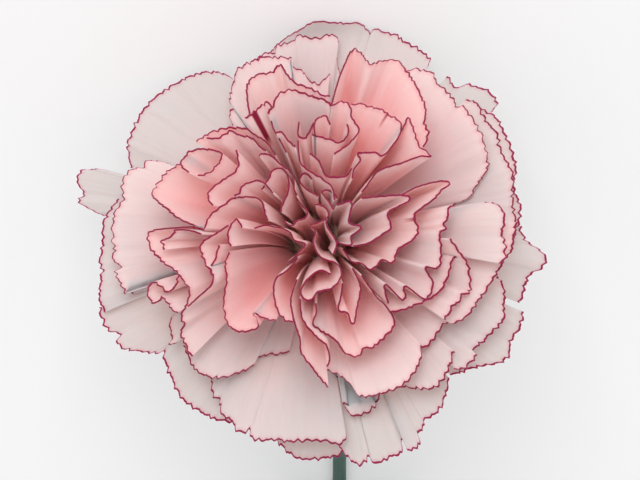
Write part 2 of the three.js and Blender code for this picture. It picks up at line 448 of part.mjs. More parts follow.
// A point of a petal, out from the throat, on the line from there to a point of its margin. The line
// bends in two arcs, and runs closer to the petal's facing near the claw.
function petalPoint(ring, facing, { x: azimuth, y: opening, z: length }, out) {
  const near = min(out, ring.bend);
  const far = max(out - ring.bend, 0);
  const opened = ((opening - THROAT.angle) * near) / ring.bend;
  const drooped = (ring.droop * DEG * far) / (length - ring.bend);
  const arcs = [[near, THROAT.angle, opened], [far, THROAT.angle + opened, drooped]];
  let radius = ring.root;
  let height = THROAT.height;
  for (const [run, start, turn] of arcs) {
    const half = turn / 2;
    const chord = abs(half) < 1e-6 ? run : (run * sin(half)) / half;
    radius += chord * sin(start + half);
    height += chord * cos(start + half);
  }
  const narrow = CLAW.width + (1 - CLAW.width) * smooth(out / CLAW.over);
  const angle = facing + (azimuth - facing) * narrow;
  return new THREE.Vector3(radius * cos(angle), radius * sin(angle), height);
}

// A petal's solid, hung from the smooth curve through its margin's points. Its columns are evenly
// spaced along the margin.
function petalSolid(ring, points) {
  const corners = points.map(([azimuth, opening, z]) => new THREE.Vector3(azimuth * DEG, opening * DEG, z));
  const curve = new THREE.CatmullRomCurve3(corners, false, "catmullrom");
  const dense = curve.getPoints((points.length - 1) * MARGIN_STEPS);
  const edge = dense.map((spot) => petalPoint(ring, spot.x, spot, spot.z));
  const runs = [0];
  for (let k = 1; k < edge.length; k++) runs.push(runs[k - 1] + edge[k].distanceTo(edge[k - 1]));
  const middle = edge.reduce((sum, spot) => sum.add(spot), new THREE.Vector3());
  const azimuths = dense.reduce((sum, spot) => sum + spot.x, 0) / dense.length;
  const facing = atan2(middle.y, middle.x);
  const turns = round((azimuths - facing) / (2 * PI));
  const columns = min(max(round(runs.at(-1) / FACET_WIDTH), FEWEST_COLUMNS), ring.columns);
  const surface = (u, v) => {
    const run = ((u + 1) / 2) * runs.at(-1);
    const k = max(runs.findIndex((reached) => reached >= run), 1);
    const spot = dense[k - 1].clone().lerp(dense[k], (run - runs[k - 1]) / (runs[k] - runs[k - 1]));
    const margin = spot.z + TOOTH * cos(((u + 1) / 2) * columns * PI);
    const out = ring.start + (margin - ring.start) * v;
    return restOnSurface(petalPoint(ring, facing + 2 * PI * turns, spot, out));
  };
  return solidOf(blade(surface, columns, ring.rows, PETAL_THICKNESS));
}

// The bloom is one body: all the petals, fused at their claws. What fusing seals inside is filled.
function bloomGeometry() {
  const claws = CALYX.outline
    .filter(([, height]) => height > CALYX.floor + CALYX.wall)
    .map(([radius, height]) => [radius - CALYX.wall - CLEARANCE, height]);
  const bottom = [claws[0][0] - CALYX.wall, CALYX.floor + CLEARANCE];
  const side = [bottom, ...claws, ...HEART];
  const outline = [[0, side[0][1]], ...side, [0, side.at(-1)[1]]].map(([r, h]) => new THREE.Vector2(r, h));
  const core = solidOf(new THREE.LatheGeometry(outline, HEART_SIDES).rotateX(PI / 2));
  const petals = RINGS.flatMap((ring) => ring.petals.map((petal) => petalSolid(ring, petal)));
  const fused = petals.reduce((sum, petal) => sum.add(petal), core);
  const bodies = fused.decompose().sort((a, b) => b.volume() - a.volume());
  return geometryOf(bodies[0].asOriginal().simplify(FINEST));
}

// The stem: a round section with a flat facet underneath, swept from the cut up the neck
function stemGeometry() {
  const neckLength = NECK_BEND * NECK_TILT;
  const bump = (x) => (abs(x) < 1 ? cos((x * PI) / 2) ** 2 : 0);
  const radiusAt = (y) => {
    const plain = STEM_RADIUS + (STEM_RADIUS_CUT - STEM_RADIUS) * max(y / STEM_LENGTH, 0);
    const swelling = Object.values(JOINTS).reduce((sum, joint) => sum + bump((y - joint) / JOINT_LENGTH), 0);
    return plain + (JOINT_RADIUS - plain) * swelling;
  };
  const section = (centre, radius, up, slant) =>
    Array.from({ length: STEM_SIDES }, (_, j) => {
      const angle = (2 * PI * (j + 0.5)) / STEM_SIDES;
      const rise = -radius * cos(angle);
      return centre
        .clone()
        .addScaledVector(up, rise)
        .add(new THREE.Vector3(radius * sin(angle), rise * slant, 0));
    });
  const vertical = new THREE.Vector3(0, 0, 1);
  const along = [STEM_LENGTH];
  for (const joint of [JOINTS.lower, JOINTS.upper]) {
    for (let k = JOINT_STEPS; k >= -JOINT_STEPS; k--) along.push(joint + (JOINT_LENGTH * k) / JOINT_STEPS);
  }
  along.push(HEEL_FLAT);
  const rings = along.map((y) => {
    const radius = radiusAt(y);
    const slant = y === STEM_LENGTH ? tan(CUT_SLANT) : 0;
    return section(new THREE.Vector3(0, y, facetHeight(radius)), radius, vertical, slant);
  });
  const end = neckLength - HEAD_CLEARANCE + EPICALYX.outline[0][1];
  for (let k = 0; k <= NECK_STEPS; k++) {
    const length = (end * k) / NECK_STEPS;
    const angle = length / NECK_BEND;
    const flare = smooth(1 - (end - length) / RECEPTACLE_LENGTH);
    const radius = STEM_RADIUS + (RECEPTACLE_RADIUS - STEM_RADIUS) * flare;
    const centre = new THREE.Vector3(
      0,
      -HEEL - NECK_BEND * sin(angle),
      facetHeight(STEM_RADIUS) + NECK_BEND * (1 - cos(angle)),
    );
    rings.push(section(centre, radius, new THREE.Vector3(0, sin(angle), cos(angle)), 0));
  }
  return skin(rings);
}

// A leaf in its joint's frame: the stem's axis runs along -Y to the bloom and the leaf leans to +X
function leafGeometry(length, spread, curl) {
  const { steps, sheath, clasp, opening } = LEAF;
  const claspRadius = JOINT_RADIUS + CLEARANCE + LEAF_THICKNESS / 2;
  const claspWidth = 2 * claspRadius * clasp;
  const beyond = (share) => max((share * length - sheath) / (length - sheath), 0);
  const path = [{ x: claspRadius, y: 0, angle: 0 }];
  for (let k = 1; k <= steps; k++) {
    const past = beyond(k / steps);
    const angle = spread * smooth(past / opening) + curl * past ** 2;
    const { x, y } = path.at(-1);
    const run = length / steps;
    path.push({ x: x + run * sin(angle), y: y - run * cos(angle), angle });
  }
  const surface = (u, v) => {
    const low = path[Math.floor(v * steps)];
    const high = path[min(Math.floor(v * steps) + 1, steps)];
    const mix = v * steps - Math.floor(v * steps);
    const between = (key) => low[key] + (high[key] - low[key]) * mix;
    const past = beyond(v);
    const opened = smooth(past / opening);
    const channel = claspRadius + (LEAF.channel - claspRadius) * opened;
    const outline = LEAF.tipWidth + (LEAF.width - LEAF.tipWidth) * (1 - past ** LEAF.taper);
    const turn = (u * (claspWidth + (outline - claspWidth) * opened)) / (2 * channel);
    const inward = channel * (1 - cos(turn));
    const angle = between("angle");
    return new THREE.Vector3(
      between("x") - inward * cos(angle),
      between("y") - inward * sin(angle),
      channel * sin(turn),
    );
  };
  return blade(surface, LEAF.columns, LEAF.rows, LEAF_THICKNESS);
}

function mesh(name, geometry, finish) {
  const piece = new THREE.Mesh(geometry, new THREE.MeshStandardMaterial(finish));
  piece.name = name;
  return piece;
}

// The head: the bloom in its calyx and epicalyx
const head = new THREE.Group();
head.position.copy(headBase);
head.quaternion.setFromRotationMatrix(headTurn);
head.add(
  mesh("bloom", bloomGeometry(), FINISH.petal),
  mesh("calyx", cup(CALYX), FINISH.calyx),
  mesh("epicalyx", cup(EPICALYX), FINISH.calyx),
);

// The whole flower, with a leaf on each side of each joint
const carnation = new THREE.Group();
carnation.add(head, mesh("stem", stemGeometry(), FINISH.stem));
for (const [joint, place] of Object.entries(JOINTS)) {
  const group = new THREE.Group();
  group.position.set(0, place, facetHeight(JOINT_RADIUS));
  for (const [name, [at, elevation, length, spread, curl]] of Object.entries(LEAVES)) {
    if (at !== joint) continue;
    const leaf = mesh(name, leafGeometry(length, spread * DEG, curl * DEG), FINISH.leaf);
    leaf.rotation.y = -elevation * DEG;
    group.add(leaf);
  }
  carnation.add(group);
}

export default carnation;
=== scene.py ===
"""A cut carnation with toothed, ruffled petals, lying on a pale surface with its bloom tipped up.

Lengths in this file are millimetres until a finished mesh is scaled to metres. The bloom, calyx and
epicalyx are made in the head's own frame: z runs up the bloom's axis, x is to the camera's right.
"""

import logging
import math
from dataclasses import dataclass, field
from enum import Enum

import bpy
import numpy as np
from mathutils import Matrix, Vector


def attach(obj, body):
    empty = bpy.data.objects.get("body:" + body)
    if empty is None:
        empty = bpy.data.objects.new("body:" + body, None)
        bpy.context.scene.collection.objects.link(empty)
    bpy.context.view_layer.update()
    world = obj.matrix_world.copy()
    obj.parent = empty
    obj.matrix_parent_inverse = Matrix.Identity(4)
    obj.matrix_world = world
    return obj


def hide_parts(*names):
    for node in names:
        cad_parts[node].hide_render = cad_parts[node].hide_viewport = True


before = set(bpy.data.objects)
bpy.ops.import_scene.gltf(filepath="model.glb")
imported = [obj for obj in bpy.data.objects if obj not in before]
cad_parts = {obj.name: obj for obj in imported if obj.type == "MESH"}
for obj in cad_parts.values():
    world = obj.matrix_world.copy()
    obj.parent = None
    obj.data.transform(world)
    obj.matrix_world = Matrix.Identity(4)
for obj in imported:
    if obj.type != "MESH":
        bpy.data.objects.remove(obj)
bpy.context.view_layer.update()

log = logging.getLogger("carnation")

BODY = "root"
METRES_PER_MM = 0.001
SURFACE_MAP = "surface"
CARRIED = ("run", "facing", "seed", "blush_and_shade", "mark", "reach")
FRAME_WIDTH = 640
FRAME_HEIGHT = 480

Value = "Field | float"
Colour = tuple[float, float, float]
Points = list[tuple[float, ...]]


def linear(red: int, green: int, blue: int) -> Colour:
    """Turn a colour from screen values, 0 to 255, into the linear values that shaders take."""
    shares = [channel / 255 for channel in (red, green, blue)]
    return tuple(s / 12.92 if s <= 0.04045 else ((s + 0.055) / 1.055) ** 2.4 for s in shares)


def smooth(x: float) -> float:
    """Ease from 0 to 1 as x goes from 0 to 1."""
    t = min(max(x, 0.0), 1.0)
    return t * t * (3 - 2 * t)


def spline(points: Points, count: int) -> Points:
    """Run a smooth curve through points.

    Args:
        points: The points to pass through, in order, with two or more coordinates each.
        count: How many points to return for each stretch.

    Returns:
        Points along the curve, with both ends.
    """
    padded = [points[0], *points, points[-1]]
    result = []
    for a, b, c, d in zip(padded, padded[1:], padded[2:], padded[3:]):
        for k in range(count):
            t = k / count
            weights = (
                -0.5 * t + t * t - 0.5 * t**3,
                1 - 2.5 * t * t + 1.5 * t**3,
                0.5 * t + 2 * t * t - 1.5 * t**3,
                -0.5 * t * t + 0.5 * t**3,
            )
            result.append(tuple(sum(w * x for w, x in zip(weights, same)) for same in zip(a, b, c, d)))
    return [*result, tuple(points[-1])]


class Graph:
    """A node tree, for geometry or for a material, that is built from plain arithmetic."""

    def __init__(self, tree: bpy.types.NodeTree) -> None:
        """Start on an existing tree."""
        self.tree = tree

    def node(self, kind: str, **settings: object) -> bpy.types.Node:
        """Add a node and set its own options."""
        made = self.tree.nodes.new(kind)
        for name, value in settings.items():
            setattr(made, name, value)
        return made

    def feed(self, socket: bpy.types.NodeSocket, value: object) -> None:
        """Link a field or another socket to a socket, or set its plain value."""
        if isinstance(value, Field):
            self.tree.links.new(value.socket, socket)
        elif isinstance(value, bpy.types.NodeSocket):
            self.tree.links.new(value, socket)
        else:
            socket.default_value = value

    def math(self, operation: str, *values: Value) -> "Field":
        """Add one arithmetic step."""
        made = self.node("ShaderNodeMath", operation=operation)
        for socket, value in zip(made.inputs, values):
            self.feed(socket, value)
        return Field(self, made.outputs[0])

    def vector(self, x: Value, y: Value, z: Value) -> bpy.types.NodeSocket:
        """Join three numbers in one vector."""
        made = self.node("ShaderNodeCombineXYZ")
        for socket, value in zip(made.inputs, (x, y, z)):
            self.feed(socket, value)
        return made.outputs[0]

    def parts(self, vector: bpy.types.NodeSocket) -> tuple["Field", "Field", "Field"]:
        """Split a vector in its three numbers."""
        made = self.node("ShaderNodeSeparateXYZ")
        self.feed(made.inputs[0], vector)
        return tuple(Field(self, socket) for socket in made.outputs)

    def grain(self, place: bpy.types.NodeSocket, w: Value, scale: float, detail: float = 2.0) -> "Field":
        """Add smooth noise.

        Args:
            place: The vector that the noise is read at.
            w: A fourth coordinate, which tells one pattern from another.
            scale: Cycles for each unit of the vector.
            detail: Octaves of finer noise.

        Returns:
            One number, from about -0.5 to 0.5.
        """
        made = self.node("ShaderNodeTexNoise", noise_dimensions="4D")
        self.feed(made.inputs["Vector"], place)
        self.feed(made.inputs["W"], w)
        made.inputs["Scale"].default_value = scale
        made.inputs["Detail"].default_value = detail
        return Field(self, made.outputs[0]) - 0.5


class Field:
    """A number that varies over a surface, which takes part in plain arithmetic."""

    def __init__(self, graph: Graph, socket: bpy.types.NodeSocket) -> None:
        """Hold one output socket of a graph."""
        self.graph = graph
        self.socket = socket

    def __add__(self, other: Value) -> "Field":
        """Add."""
        return self.graph.math("ADD", self, other)

    __radd__ = __add__

    def __sub__(self, other: Value) -> "Field":
        """Subtract."""
        return self.graph.math("SUBTRACT", self, other)

    def __rsub__(self, other: Value) -> "Field":
        """Subtract from a number."""
        return self.graph.math("SUBTRACT", other, self)

    def __mul__(self, other: Value) -> "Field":
        """Multiply."""
        return self.graph.math("MULTIPLY", self, other)

    __rmul__ = __mul__

    def __truediv__(self, other: Value) -> "Field":
        """Divide."""
        return self.graph.math("DIVIDE", self, other)

    def __rtruediv__(self, other: Value) -> "Field":
        """Divide a number."""
        return self.graph.math("DIVIDE", other, self)

    def __pow__(self, other: Value) -> "Field":
        """Raise to a power."""
        return self.graph.math("POWER", self, other)

    def sin(self) -> "Field":
        """Sine, in radians."""
        return self.graph.math("SINE", self)

    def cos(self) -> "Field":
        """Cosine, in radians."""
        return self.graph.math("COSINE", self)

    def size(self) -> "Field":
        """Drop the sign."""
        return self.graph.math("ABSOLUTE", self)

    def fraction(self) -> "Field":
        """Keep what follows the decimal point."""
        return self.graph.math("FRACT", self)

    def least(self, other: Value) -> "Field":
        """Take the lower of two."""
        return self.graph.math("MINIMUM", self, other)

    def most(self, other: Value) -> "Field":
        """Take the higher of two."""
        return self.graph.math("MAXIMUM", self, other)

    def ease(self, start: float, end: float) -> "Field":
        """Ease from 0 to 1 as the number goes from start to end, either way round."""
        t = ((self - start) / (end - start)).most(0.0).least(1.0)
        return t * t * (3.0 - 2.0 * t)


class GeometryGraph(Graph):
    """A Geometry Nodes tree with named inputs, run once on a mesh."""

    def __init__(self, name: str) -> None:
        """Start a tree with a geometry going in and one coming out."""
        super().__init__(bpy.data.node_groups.new(name, "GeometryNodeTree"))
        self.tree.interface.new_socket("Geometry", in_out="INPUT", socket_type="NodeSocketGeometry")
        self.tree.interface.new_socket("Geometry", in_out="OUTPUT", socket_type="NodeSocketGeometry")
        self.entry = self.node("NodeGroupInput")
        self.exit = self.node("NodeGroupOutput")
        self.identifiers: dict[str, str] = {}

    def number(self, name: str, kind: str = "Float") -> Field:
        """Add a named input to the tree."""
        item = self.tree.interface.new_socket(name, in_out="INPUT", socket_type=f"NodeSocket{kind}")
        self.identifiers[name] = item.identifier
        return Field(self, self.entry.outputs[name])

    def attribute(self, name: str) -> Field:
        """Read a number that the points carry."""
        made = self.node("GeometryNodeInputNamedAttribute", data_type="FLOAT")
        made.inputs["Name"].default_value = name
        return Field(self, made.outputs[0])

    def keep(self, geometry: bpy.types.NodeSocket, name: str, value: Field) -> bpy.types.NodeSocket:
        """Store a number on the points under a name."""
        made = self.node("GeometryNodeStoreNamedAttribute", data_type="FLOAT", domain="POINT")
        self.feed(made.inputs["Geometry"], geometry)
        made.inputs["Name"].default_value = name
        self.feed(made.inputs["Value"], value)
        return made.outputs[0]

    def keep_map(self, geometry: bpy.types.NodeSocket, name: str, x: Field,
                 y: Field) -> bpy.types.NodeSocket:
        """Store two numbers as a UV map."""
        made = self.node("GeometryNodeStoreNamedAttribute", data_type="FLOAT2", domain="CORNER")
        self.feed(made.inputs["Geometry"], geometry)
        made.inputs["Name"].default_value = name
        self.feed(made.inputs["Value"], self.vector(x, y, 0.0))
        return made.outputs[0]

    def look_up(self, value: bpy.types.NodeSocket, place: Field, kind: str) -> bpy.types.NodeSocket:
        """Read a value from one numbered point of the mesh that the tree starts from."""
        made = self.node("GeometryNodeSampleIndex", data_type=kind, domain="POINT")
        self.feed(made.inputs["Geometry"], self.entry.outputs["Geometry"])
        self.feed(made.inputs["Value"], value)
        self.feed(made.inputs["Index"], place)
        return made.outputs[0]

    def move(self, geometry: bpy.types.NodeSocket, place: bpy.types.NodeSocket) -> bpy.types.NodeSocket:
        """Put each point at a place."""
        made = self.node("GeometryNodeSetPosition")
        self.feed(made.inputs["Geometry"], geometry)
        self.feed(made.inputs["Position"], place)
        return made.outputs[0]

    def close(self, geometry: bpy.types.NodeSocket) -> None:
        """End the tree: real geometry, with the material that its last input gives."""
        item = self.tree.interface.new_socket("Material", in_out="INPUT", socket_type="NodeSocketMaterial")
        self.identifiers["Material"] = item.identifier
        real = self.node("GeometryNodeRealizeInstances")
        self.feed(real.inputs[0], geometry)
        dressed = self.node("GeometryNodeSetMaterial")
        self.feed(dressed.inputs["Geometry"], real.outputs[0])
        self.feed(dressed.inputs["Material"], self.entry.outputs["Material"])
        self.feed(self.exit.inputs[0], dressed.outputs[0])

    def run(self, base: bpy.types.Mesh, values: dict[str, object], thickness: float) -> bpy.types.Mesh:
        """Run the tree and give its sheet a thickness.

        Args:
            base: The mesh that the tree starts from.
            values: What each named input is set to.
            thickness: The finished wall's thickness.

        Returns:
            A plain closed mesh, with no modifiers.
        """
        holder = bpy.data.objects.new(self.tree.name, base)
        bpy.context.scene.collection.objects.link(holder)
        modifier = holder.modifiers.new("tree", "NODES")
        modifier.node_group = self.tree
        for name, value in values.items():
            modifier[self.identifiers[name]] = value
        thicken(holder, thickness)
        return settle(holder)


def thicken(holder: bpy.types.Object, thickness: float) -> None:
    """Give a sheet a wall of even thickness, half on each side."""
    wall = holder.modifiers.new("wall", "SOLIDIFY")
    wall.thickness = thickness
    wall.offset = 0.0
    wall.use_even_offset = False


def settle(holder: bpy.types.Object) -> bpy.types.Mesh:
    """Turn an object and its modifiers into a plain mesh, and remove the object."""
    graph = bpy.context.evaluated_depsgraph_get()
    result = bpy.data.meshes.new_from_object(
        holder.evaluated_get(graph), preserve_all_data_layers=True, depsgraph=graph
    )
    bpy.data.objects.remove(holder)
    return result


def sheet(grid: np.ndarray, thickness: float, closed: bool = False) -> bpy.types.Mesh:
    """Make a closed wall over a grid of points.

    Args:
        grid: Points in rows and columns, with three coordinates each.
        thickness: The wall's thickness.
        closed: True if the last column meets the first.

    Returns:
        A mesh with a UV map that runs from 0 to 1 across the columns and along the rows.
    """
    rows, columns = grid.shape[:2]
    spans = columns if closed else columns - 1
    faces = []
    corners = []
    for i in range(rows - 1):
        for j in range(spans):
            following = (j + 1) % columns
            faces.append((i * columns + j, i * columns + following,
                          (i + 1) * columns + following, (i + 1) * columns + j))
            corners += [(j / spans, i / (rows - 1)), ((j + 1) / spans, i / (rows - 1)),
                        ((j + 1) / spans, (i + 1) / (rows - 1)), (j / spans, (i + 1) / (rows - 1))]
    mesh = bpy.data.meshes.new("sheet")
    mesh.from_pydata(grid.reshape(-1, 3).tolist(), [], faces)
    layer = mesh.uv_layers.new(name=SURFACE_MAP)
    layer.data.foreach_set("uv", np.array(corners, np.float32).ravel())
    holder = bpy.data.objects.new("sheet", mesh)
    bpy.context.scene.collection.objects.link(holder)
    thicken(holder, thickness)
    return settle(holder)


def solid(grid: np.ndarray) -> bpy.types.Mesh:
    """Make a closed body over rings of points, with both ends drawn to a point or capped.

    Args:
        grid: Rings of points from one end to the other, with three coordinates each.

    Returns:
        A mesh with a UV map from 0 to 1 round the rings and along them.
    """
    rows, columns = grid.shape[:2]
    faces = []
    corners = []
    for i in range(rows - 1):
        for j in range(columns):
            following = (j + 1) % columns
            faces.append((i * columns + j, i * columns + following,
                          (i + 1) * columns + following, (i + 1) * columns + j))
            corners += [(j / columns, i / rows), ((j + 1) / columns, i / rows),
                        ((j + 1) / columns, (i + 1) / rows), (j / columns, (i + 1) / rows)]
    first = tuple(reversed(range(columns)))
    last = tuple(range((rows - 1) * columns, rows * columns))
    faces += [first, last]
    corners += [(k / columns, 0.0) for k in first] + [(k / columns, 1.0) for k in range(columns)]
    mesh = bpy.data.meshes.new("solid")
    mesh.from_pydata(grid.reshape(-1, 3).tolist(), [], faces)
    layer = mesh.uv_layers.new(name=SURFACE_MAP)
    layer.data.foreach_set("uv", np.array(corners, np.float32).ravel())
    return mesh


def piece(name: str, mesh: bpy.types.Mesh, place: Matrix, finish: bpy.types.Material,
          nodes: tuple[str, ...], crease: float = 50.0) -> None:
    """Finish a mesh as a piece of the object.

    Args:
        name: The piece's name.
        mesh: Its mesh, in millimetres.
        place: Where its own frame stands in the object's frame, in millimetres.
        finish: Its material.
        nodes: The CAD nodes that it stands for.
        crease: Edges sharper than this many degrees are shaded sharp.
    """
    mesh.transform(Matrix.Scale(METRES_PER_MM, 4) @ place)
    mesh.materials.clear()
    mesh.materials.append(finish)
    mesh.polygons.foreach_set("material_index", np.zeros(len(mesh.polygons), np.int32))
    mesh.polygons.foreach_set("use_smooth", np.ones(len(mesh.polygons), bool))
    mesh.set_sharp_from_angle(angle=math.radians(crease))
    mesh.name = name
    made = bpy.data.objects.new(name, mesh)
    bpy.context.scene.collection.objects.link(made)
    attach(made, BODY)
    if nodes:
        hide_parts(*nodes)
    log.info("%s: %d faces", name, len(mesh.polygons))


def joined(meshes: list[bpy.types.Mesh], name: str) -> bpy.types.Mesh:
    """Join several meshes in one."""
    holders = [bpy.data.objects.new(name, mesh) for mesh in meshes]
    for holder in holders:
        bpy.context.scene.collection.objects.link(holder)
    with bpy.context.temp_override(active_object=holders[0], selected_editable_objects=holders):
        bpy.ops.object.join()
    result = holders[0].data
    bpy.data.objects.remove(holders[0])
    return result


@dataclass(frozen=True)
class Head:
    """Where the calyx and bloom stand over the surface, as the stem's neck holds them."""

    tilt: float = math.radians(40)
    turn: float = math.radians(10.5)
    bend: float = 32.0
    heel: float = 2.0
    stem_radius: float = 1.2
    stem_sides: int = 12

    def centre(self, radius: float) -> float:
        """Height of the stem's centre, over the flat facet that it lies on."""
        return radius * math.cos(math.pi / self.stem_sides)

    def base(self) -> Vector:
        """The calyx's base."""
        rise = self.centre(self.stem_radius) + self.bend * (1 - math.cos(self.tilt))
        return Vector((0, -self.heel - self.bend * math.sin(self.tilt), rise))

    def place(self) -> Matrix:
        """The head's own frame, in the object's frame."""
        s, c = math.sin(self.tilt), math.cos(self.tilt)
        axes = Matrix(((-1, 0, 0), (0, -s, -c), (0, -c, s))).to_4x4()
        return Matrix.Translation(self.base()) @ Matrix.Rotation(self.turn, 4, "Z") @ axes

    def up(self) -> Vector:
        """The way up, seen from the head's own frame."""
        return self.place().to_3x3().inverted() @ Vector((0, 0, 1))


HEAD = Head()


class Layer(Enum):
    """The rings of petals, from the outside in, by the names of their pieces."""

    GUARD = "petals_guard"
    OUTER = "petals_outer"
    MIDDLE = "petals_middle"
    INNER = "petals_inner"
    HEART = "petals_heart"
    CENTRE = "petals_centre"


@dataclass(frozen=True)
class Streak:
    """A crimson mark that runs in from a petal's margin.

    Place is how far along the margin it lies, reach how far in it runs, and width half its breadth, all
    in millimetres.
    """

    place: float
    reach: float
    width: float


NO_STREAK = Streak(0.0, -9.0, 0.0)


@dataclass(frozen=True)
class Petal:
    """One petal, by where the points of its margin show in the picture, in pixels from the top left.

    A petal either opens by one angle all along, in degrees, or its length is what the points' radius
    calls for and some extra millimetres. The blush_and_shade says how far its salmon reaches from the
    base, and above 1 it also darkens the petal towards a dusky rose, which is painted shade.
    """

    blush_and_shade: float
    margin: tuple[tuple[float, float], ...]
    opening: float | None = None
    extra: float = 0.0
    streak: Streak = NO_STREAK


@dataclass(frozen=True)
class Ring:
    """A ring of petals that bend, ruffle and end alike.

    Droop is what a petal's outer arc adds to its opening, and ripple how steeply it ruffles, in degrees.
    Root is the ring's radius at the throat, bend the length of a petal's inner arc, and tooth the depth
    of its teeth, in millimetres. Columns is how many points each petal has along its margin.
    """

    layer: Layer
    droop: float
    root: float
    bend: float
    ripple: float
    tooth: float
    columns: int
    petals: tuple[Petal, ...]


